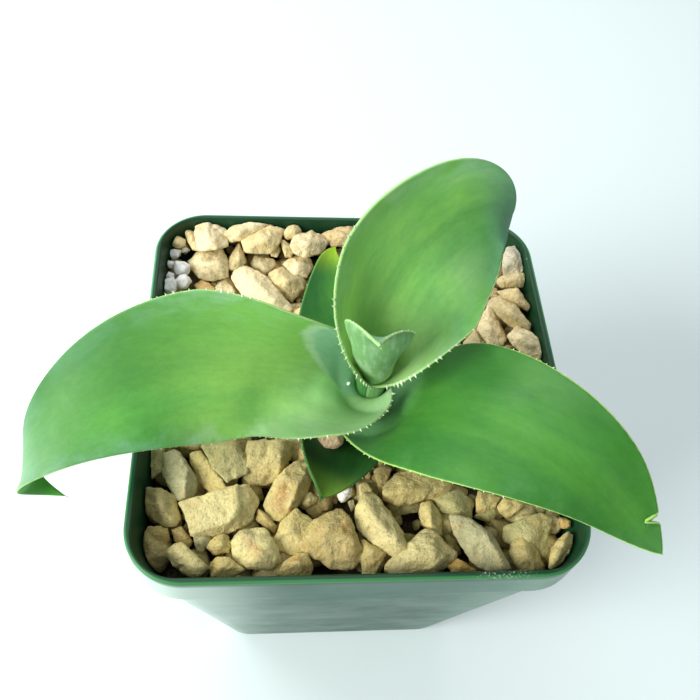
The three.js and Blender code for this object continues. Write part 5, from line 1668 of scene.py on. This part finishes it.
@dataclass
class Gravel:
    """The top dressing: a dark bed, deep stones, the ones that are seen, crumbs, and grains of perlite."""

    leaves: list[Leaf]
    rubble: Rubble = field(default_factory=Rubble)
    filler_reach: float = 45.0
    sink_step: float = 0.6
    clearance: float = 0.04
    lowest: float = BED_TOP - 1
    lying_share: float = 0.3
    far_line: float = 0.0
    # Painted light: the stones' tints are brightened, the back ones far more and bluer, for the light that falls on the
    # back of the gravel.
    near_painted_light: Colour = (1.07, 1.1, 1.07)
    far_painted_light: Colour = (1.45, 1.45, 1.95)
    trees: list[BVHTree] = field(init=False)

    def __post_init__(self) -> None:
        """Makes a search tree of each leaf."""
        self.trees = []
        for leaf in self.leaves:
            mesh = leaf.piece.data
            corners = [tuple(v.co / MM) for v in mesh.vertices]
            self.trees.append(BVHTree.FromPolygons(corners, [tuple(p.vertices) for p in mesh.polygons]))

    def at_stem(self, x: float, y: float, room: float) -> bool:
        """Tells whether a place is nearer to the stem than the room given."""
        return math.hypot(x - AXIS[0], y - AXIS[1]) < STEM_TOP_RADIUS + room

    def fillers(self, pitch: float, length: tuple[float, float], seed: int, room: float) -> list[Stone]:
        """Stones of the rule: one to each square of a grid, shaken from its middle.

        Args:
            pitch: side of a square.
            length: the least length and how much a draw adds to it.
            seed: picks the draws.
            room: stones nearer than this to the middle of a seen rock are left out.

        Returns:
            The stones.
        """
        stones = []
        draw = seeded_draws(seed)
        middles = np.array([np.mean(rock.corners, axis=0)[:2] for rock in FRONT_ROCKS + BACK_ROCKS])
        lines = np.arange(-self.filler_reach, self.filler_reach + 0.001, pitch)
        for x in lines:
            for y in lines:
                place_x = float(x) + pitch * (draw() - 0.5)
                place_y = float(y) + pitch * (draw() - 0.5)
                long = length[0] + length[1] * draw()
                stone = Stone(place_x, place_y, long, long * (0.7 + 0.25 * draw()), 180 * draw())
                seen = seen_at(np.array([[stone.x, stone.y, SIGHT_LEVEL - 3]]))[0]
                covered = np.linalg.norm(middles - seen, axis=1).min() < room
                in_wall = max(abs(stone.x), abs(stone.y)) > RIM_WIDTH / 2 - RIM_LIP - 1
                in_corner = math.hypot(stone.x, stone.y) > 54
                in_perlite = stone.x < -34 and stone.y > 23 and room > 0
                if not (covered or in_wall or in_corner or in_perlite or self.at_stem(stone.x, stone.y, 1.5)):
                    stones.append(stone)
        return stones

    def cleared(self, points: np.ndarray, faces: np.ndarray, way: np.ndarray) -> np.ndarray | None:
        """Lowers a stone by steps until it is clear of every leaf.

        Args:
            points: the stone's points.
            faces: its faces.
            way: the move for each millimetre that it sinks.

        Returns:
            The points at their place, or None where the stone can't be cleared.
        """
        polygons = faces.tolist()
        moved = held_inside(points, WALL + GAP)
        while moved[:, 2].mean() > self.lowest:
            grown = moved + (moved - moved.mean(0)) * self.clearance
            tree = BVHTree.FromPolygons(grown.tolist(), polygons)
            if not any(tree.overlap(other) for other in self.trees):
                return moved
            points = points + way * self.sink_step
            moved = held_inside(points, WALL + GAP)
        return None

    def seen_heap(self, rocks: tuple[Rock, ...], seed: int, light: Colour) -> Heap:
        """Gathers the rocks that are seen. One that touches a leaf sinks along its line of sight."""
        heap = Heap()
        for index, rock in enumerate(rocks):
            points, faces, edge = self.rubble.seen(rock, seed + index, 0.55)
            ray = points.mean(0) - EYE
            placed = self.cleared(points, faces, ray / abs(ray[2]))
            if placed is None:
                continue
            draw = seeded_draws(seed * 31 + index)
            # Painted light: the tint is multiplied by the near or far brightening.
            tint = np.array(rock.tint.value) * (0.94 + 0.12 * draw()) * np.array(light)
            heap.add(placed, faces, edge, tint, draw())
        return heap

    def drawn_heap(
        self, stones: list[Stone], heights: tuple[float, float], seed: int, grain: Grain, rough: float,
        shaded_share: float = 1.0,
    ) -> Heap:
        """Gathers stones of the rule.

        Args:
            stones: the stones.
            heights: the least height of a middle and how much a draw adds to it.
            seed: first seed, counted up stone by stone.
            grain: how finely each is divided.
            rough: height of the bumps in millimetres.
            shaded_share: share of its brightness that each tint keeps, as painted shade for stones low in the gaps.

        Returns:
            The heap.
        """
        heap = Heap()
        tints = [np.array(tint.value) for tint in (Tint.PALE, Tint.TAN, Tint.TAN, Tint.OLIVE, Tint.BROWN)]
        for index, stone in enumerate(stones):
            draw = seeded_draws(seed * 31 + index)
            points, faces, edge = self.rubble.drawn(stone, seed + index, grain, rough)
            points[:, 2] += heights[0] + heights[1] * draw()
            placed = self.cleared(points, faces, np.array([0.0, 0.0, -1.0]))
            if placed is None:
                continue
            # Painted light: stones towards the back are brightened.
            light = self.far_painted_light if stone.y > self.far_line else (1.0, 1.0, 1.0)
            tint = tints[int(draw() * len(tints))] * shaded_share * np.array(light)
            heap.add(placed, faces, edge, tint, draw())
        return heap

    def on_leaf(self, heap: Heap, stone: Resting, seed: int) -> None:
        """Lays a stone on a leaf, where its line of sight meets the leaf's face."""
        names = [leaf.form.name for leaf in self.leaves]
        aim = np.array([*stone.seen, SIGHT_LEVEL]) - EYE
        aim /= np.linalg.norm(aim)
        hit = self.trees[names.index(stone.leaf)].ray_cast(Vector(EYE), Vector(aim))[0]
        if hit is None:
            return
        form = Stone(0.0, 0.0, stone.length, stone.length * 0.75, 20.0)
        points, faces, edge = self.rubble.drawn(form, seed, Grain.MIDDLE, stone.length * 0.08)
        placed = points + np.array(hit) - aim * stone.length * self.lying_share
        heap.add(placed, faces, edge, np.array(stone.tint.value), 0.2)

    def bed(self) -> None:
        """The bed under the stones: a square disc with a crumbly top."""
        bottom = SOIL_TOP + GAP
        width, corner = inside_size(BED_TOP, WALL + GAP)
        edge = square_ring(width, corner, BED_TOP, 24)
        rings = [square_ring(*inside_size(bottom, WALL + GAP), bottom, 24)]
        rings += [edge * np.array([share, share, 1.0]) for share in np.linspace(1, 0.02, 60)]
        stack = np.stack(rings)
        surface = stack[1:].reshape(-1, 3)
        inward = smooth_step(np.max(np.abs(surface[:, :2]), axis=1), width / 2, width / 2 - 1.5)
        surface[:, 2] += layered_noise(surface * 0.6, 4, 77) * 0.9 * inward
        stack[1:] = surface.reshape(stack[1:].shape)
        levels, count = stack.shape[:2]
        first = levels * count
        centre = [0, 0, float(stack[-1, :, 2].mean())]
        points = np.vstack([stack.reshape(-1, 3), centre, [0, 0, bottom]])
        k = np.arange(count)
        after = (k + 1) % count
        last = (levels - 1) * count
        cap = np.stack([last + k, last + after, np.full(count, first)], -1)
        under = np.stack([after, k, np.full(count, first + 1)], -1)
        faces = ring_faces(levels, count).tolist() + cap.tolist() + under.tolist()
        piece = make_piece("gravel_bed", points, faces, "gravel", ("gravel",))
        piece.data.materials.append(self.shaded_bed())

    def crumbs(self) -> list[Stone]:
        """Grit and chips that fill the gaps: drawn at random over the bed."""
        draw = seeded_draws(91)
        stones = []
        for _ in range(360):
            x = 82 * (draw() - 0.5)
            y = 82 * (draw() - 0.5)
            length = 1.6 + 2.6 * draw() ** 2
            stone = Stone(x, y, length, length * (0.6 + 0.3 * draw()), 180 * draw())
            if not self.at_stem(x, y, 1.5) and math.hypot(x, y) < 55:
                stones.append(stone)
        return stones

    def build(self) -> None:
        """Builds and dresses the bed, the stones, the crumbs and the perlite."""
        rock = self.rock()
        self.bed()
        front = self.seen_heap(FRONT_ROCKS, 100, self.near_painted_light)
        self.on_leaf(front, ON_LEAVES[0], 61)
        front.piece("gravel_front", "gravel", rock)
        self.seen_heap(BACK_ROCKS, 200, self.far_painted_light).piece("gravel_back", "gravel", rock)
        middle = self.fillers(8.0, (7.5, 3.0), 7, 7.5)
        self.drawn_heap(middle, (POT_HEIGHT - 9.5, 1.2), 300, Grain.MIDDLE, 0.42).piece("gravel_small", "gravel", rock)
        # Painted shade: the deep stones and the crumbs keep only part of their tint's brightness, for the shade in the
        # gaps.
        deep = self.fillers(6.6, (6.0, 2.5), 8, 0)
        self.drawn_heap(deep, (POT_HEIGHT - 10.4, 0.8), 700, Grain.DEEP, 0.3, 0.72).piece("gravel_deep", "gravel", rock)
        crumbs = self.drawn_heap(self.crumbs(), (POT_HEIGHT - 9.5, 1.5), 5000, Grain.CRUMB, 0.1, 0.7)
        crumbs.piece("gravel_crumbs", "gravel", rock)
        grains = self.drawn_heap(list(GRAINS), (POT_HEIGHT - 5.2, 0.0), 900, Grain.MIDDLE, 0.4)
        self.on_leaf(grains, ON_LEAVES[1], 62)
        grains.piece("perlite_grains", "perlite", self.perlite())

    def rock(self) -> bpy.types.Material:
        """Broken stone: a tint for each, clouds, grains, pits and rusty streaks, paler along the worn edges."""
        shader = Shader("broken_stone")
        where = shader.place
        stain, edge, chance = shader.parts(shader.stored("wear"))
        cloud = shader.noise(where, 190, 4, 0.6)
        colour = shader.mix(
            shader.rise(cloud, 0.3, 0.7), shader.stored("tint"),
            shader.mix(1.0, shader.stored("tint"), (1.18, 1.2, 1.22), "MULTIPLY"),
        )
        dull = shader.math("MULTIPLY", shader.rise(chance, 0.5, 1.0), shader.rise(cloud, 0.6, 0.4))
        colour = shader.mix(shader.math("MULTIPLY", dull, 0.5), colour, (0.33, 0.30, 0.15))
        rust = shader.math("MULTIPLY", shader.rise(shader.noise(where, 260, 3, 0.55), 0.56, 0.68), 0.35)
        colour = shader.mix(rust, colour, (0.58, 0.36, 0.10))
        streak = shader.math("MULTIPLY", stain, shader.rise(shader.noise(where, 700, 3, 0.6), 0.3, 0.55))
        colour = shader.mix(shader.math("MULTIPLY", streak, 0.7), colour, (0.44, 0.19, 0.04))
        colour = shader.mix(shader.math("MULTIPLY", edge, 0.2), colour, (0.80, 0.72, 0.42))
        pits = shader.rise(shader.noise(where, 1500, 3, 0.7), 0.55, 0.66)
        colour = shader.mix(shader.math("MULTIPLY", pits, 0.42), colour, (0.17, 0.15, 0.07))
        pale = shader.rise(shader.noise(where, 1900, 2, 0.7), 0.56, 0.7)
        colour = shader.mix(shader.math("MULTIPLY", pale, 0.4), colour, (0.80, 0.74, 0.46))
        normal = shader.bump(shader.noise(where, 420, 4, 0.62), 1.1, 0.7)
        normal = shader.bump(shader.noise(where, 1300, 4, 0.72), 0.6, 0.9, normal)
        return shader.finish(colour, 0.9, normal, Specular_IOR_Level=0.3)

    def perlite(self) -> bpy.types.Material:
        """White perlite: matt, with faint grey hollows."""
        shader = Shader("white_perlite")
        where = shader.place
        cloud = shader.noise(where, 700, 4, 0.6)
        colour = shader.mix(shader.rise(cloud, 0.35, 0.65), (0.84, 0.83, 0.81), (1.0, 1.0, 0.99))
        normal = shader.bump(shader.noise(where, 1000, 4, 0.65), 0.4, 0.7)
        return shader.finish(colour, 0.8, normal)

    def shaded_bed(self) -> bpy.types.Material:
        """Dark mix under the stones, painted near black as the shade in the gaps, and painted lighter tan towards the
        back as painted light.
        """
        shader = Shader("gravel_bed_shaded")
        where = shader.place
        # The bed's near-black colours are partly the dark mix and partly painted shade for the gaps between stones.
        cloud = shader.noise(where, 400, 5, 0.7)
        colour = shader.mix(shader.rise(cloud, 0.4, 0.65), (0.03, 0.022, 0.012), (0.12, 0.09, 0.045))
        # Painted light: the bed is lighter tan towards the back.
        far = shader.rise(shader.parts(where)[1], 0.0, 0.02, 0.0, 0.8)
        colour = shader.mix(far, colour, (0.36, 0.28, 0.13))
        normal = shader.bump(shader.noise(where, 900, 4, 0.7), 0.6, 0.8)
        return shader.finish(colour, 0.95, normal)


def dress_solid(node: str, material: bpy.types.Material) -> None:
    """Gives a carried-over solid its own material.

    Args:
        node: the solid's name.
        material: its finish.
    """
    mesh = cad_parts[node].data
    mesh.materials.clear()
    mesh.materials.append(material)


def soil_finish() -> bpy.types.Material:
    """Dark potting mix with lighter fibres."""
    shader = Shader("potting_mix")
    cloud = shader.noise(shader.place, 500, 5, 0.7)
    colour = shader.mix(shader.rise(cloud, 0.4, 0.68), (0.02, 0.014, 0.008), (0.10, 0.065, 0.035))
    normal = shader.bump(shader.noise(shader.place, 800, 4, 0.7), 0.8, 0.9)
    return shader.finish(colour, 0.95, normal)


def stem_finish() -> bpy.types.Material:
    """Pale green flesh of the short stem."""
    shader = Shader("stem_flesh")
    cloud = shader.noise(shader.place, 300, 3)
    colour = shader.mix(cloud, (0.20, 0.33, 0.12), (0.42, 0.52, 0.28))
    normal = shader.bump(shader.noise(shader.place, 700, 3), 0.2, 0.5)
    return shader.finish(colour, 0.6, normal)


@dataclass
class Studio:
    """The pale floor, the soft lights and the camera."""

    focal_px: float = 782.7
    image_px: float = 700.0
    sensor: float = 36.0
    elevation: float = 56.31
    yaw: float = 9.53
    roll: float = 8.17
    eye: tuple[float, float, float] = (-16.25, -87.08, 141.05)

    def camera(self) -> None:
        """Sets the camera at the photograph's angle, worked out from the pot's rim."""
        data = bpy.data.cameras.new("camera")
        data.sensor_width = self.sensor
        data.sensor_fit = "HORIZONTAL"
        data.lens = self.sensor * self.focal_px / self.image_px
        data.clip_start = 0.01
        data.clip_end = 20
        camera = bpy.data.objects.new("camera", data)
        bpy.context.scene.collection.objects.link(camera)
        yaw = math.radians(self.yaw)
        tilt = math.radians(self.elevation)
        roll = math.radians(self.roll)
        level = Vector((math.sin(yaw), math.cos(yaw), 0))
        right = Vector((math.cos(yaw), -math.sin(yaw), 0))
        up = Vector((0, 0, 1))
        look = level * math.cos(tilt) - up * math.sin(tilt)
        top = level * math.sin(tilt) + up * math.cos(tilt)
        right_rolled = right * math.cos(roll) + top * math.sin(roll)
        top_rolled = top * math.cos(roll) - right * math.sin(roll)
        turn = Matrix((right_rolled, top_rolled, -look)).transposed().to_4x4()
        eye = Vector((self.eye[0], self.eye[1], self.eye[2] + POT_HEIGHT)) * MM
        camera.matrix_world = Matrix.Translation(eye) @ turn
        bpy.context.scene.camera = camera

    def floor(self) -> None:
        """A large plain pale floor under the pot."""
        mesh = bpy.data.meshes.new("floor")
        half = 4.0
        mesh.from_pydata([(-half, -half, 0), (half, -half, 0), (half, half, 0), (-half, half, 0)], [], [(0, 1, 2, 3)])
        floor = bpy.data.objects.new("floor", mesh)
        bpy.context.scene.collection.objects.link(floor)
        shader = Shader("pale_floor")
        mesh.materials.append(shader.finish((0.78, 0.888, 0.892), 0.6))

    def light(self, name: str, place: Vector, aim: Vector, size: float, power: float, colour: Colour) -> None:
        """Adds one soft area light.

        Args:
            name: the light's name.
            place: where it hangs, in metres.
            aim: what it faces.
            size: its side, in metres.
            power: watts.
            colour: its tint.
        """
        data = bpy.data.lights.new(name, "AREA")
        data.shape = "SQUARE"
        data.size = size
        data.energy = power
        data.color = colour
        lamp = bpy.data.objects.new(name, data)
        lamp.location = place
        lamp.rotation_euler = (aim - place).to_track_quat("-Z", "Y").to_euler()
        bpy.context.scene.collection.objects.link(lamp)

    def build(self) -> None:
        """Sets the floor, the lights, the sky's fill and the camera."""
        self.floor()
        aim = Vector((0, 0, 0.09))
        self.light("key", Vector((-0.75, -0.35, 0.55)), aim, 0.5, 12.0, (1.0, 0.99, 0.96))
        self.light("back", Vector((-0.7, 0.5, 0.6)), aim, 0.5, 3.2, (1.0, 1.0, 0.98))
        self.light("top", Vector((-0.05, 0.5, 0.98)), aim, 0.8, 4.0, (0.97, 0.99, 1.0))
        world = bpy.data.worlds.new("soft_room")
        world.use_nodes = True
        back = world.node_tree.nodes["Background"]
        back.inputs["Color"].default_value = (0.93, 0.97, 1.0, 1)
        back.inputs["Strength"].default_value = 0.36
        bpy.context.scene.world = world
        bpy.context.scene.view_settings.view_transform = "Standard"
        self.camera()


def main() -> None:
    """Builds the agave, its pot and its gravel, and sets the stage."""
    logging.basicConfig(level=logging.INFO, format="%(message)s")
    Studio().build()
    Pot().build()
    horn = tooth_finish()
    leaves = [Leaf(form) for form in LEAVES]
    for leaf in leaves:
        leaf.build(horn)
    Gravel(leaves).build()
    dress_solid("soil", soil_finish())
    dress_solid("stem", stem_finish())


if __name__ == "__main__":
    main()
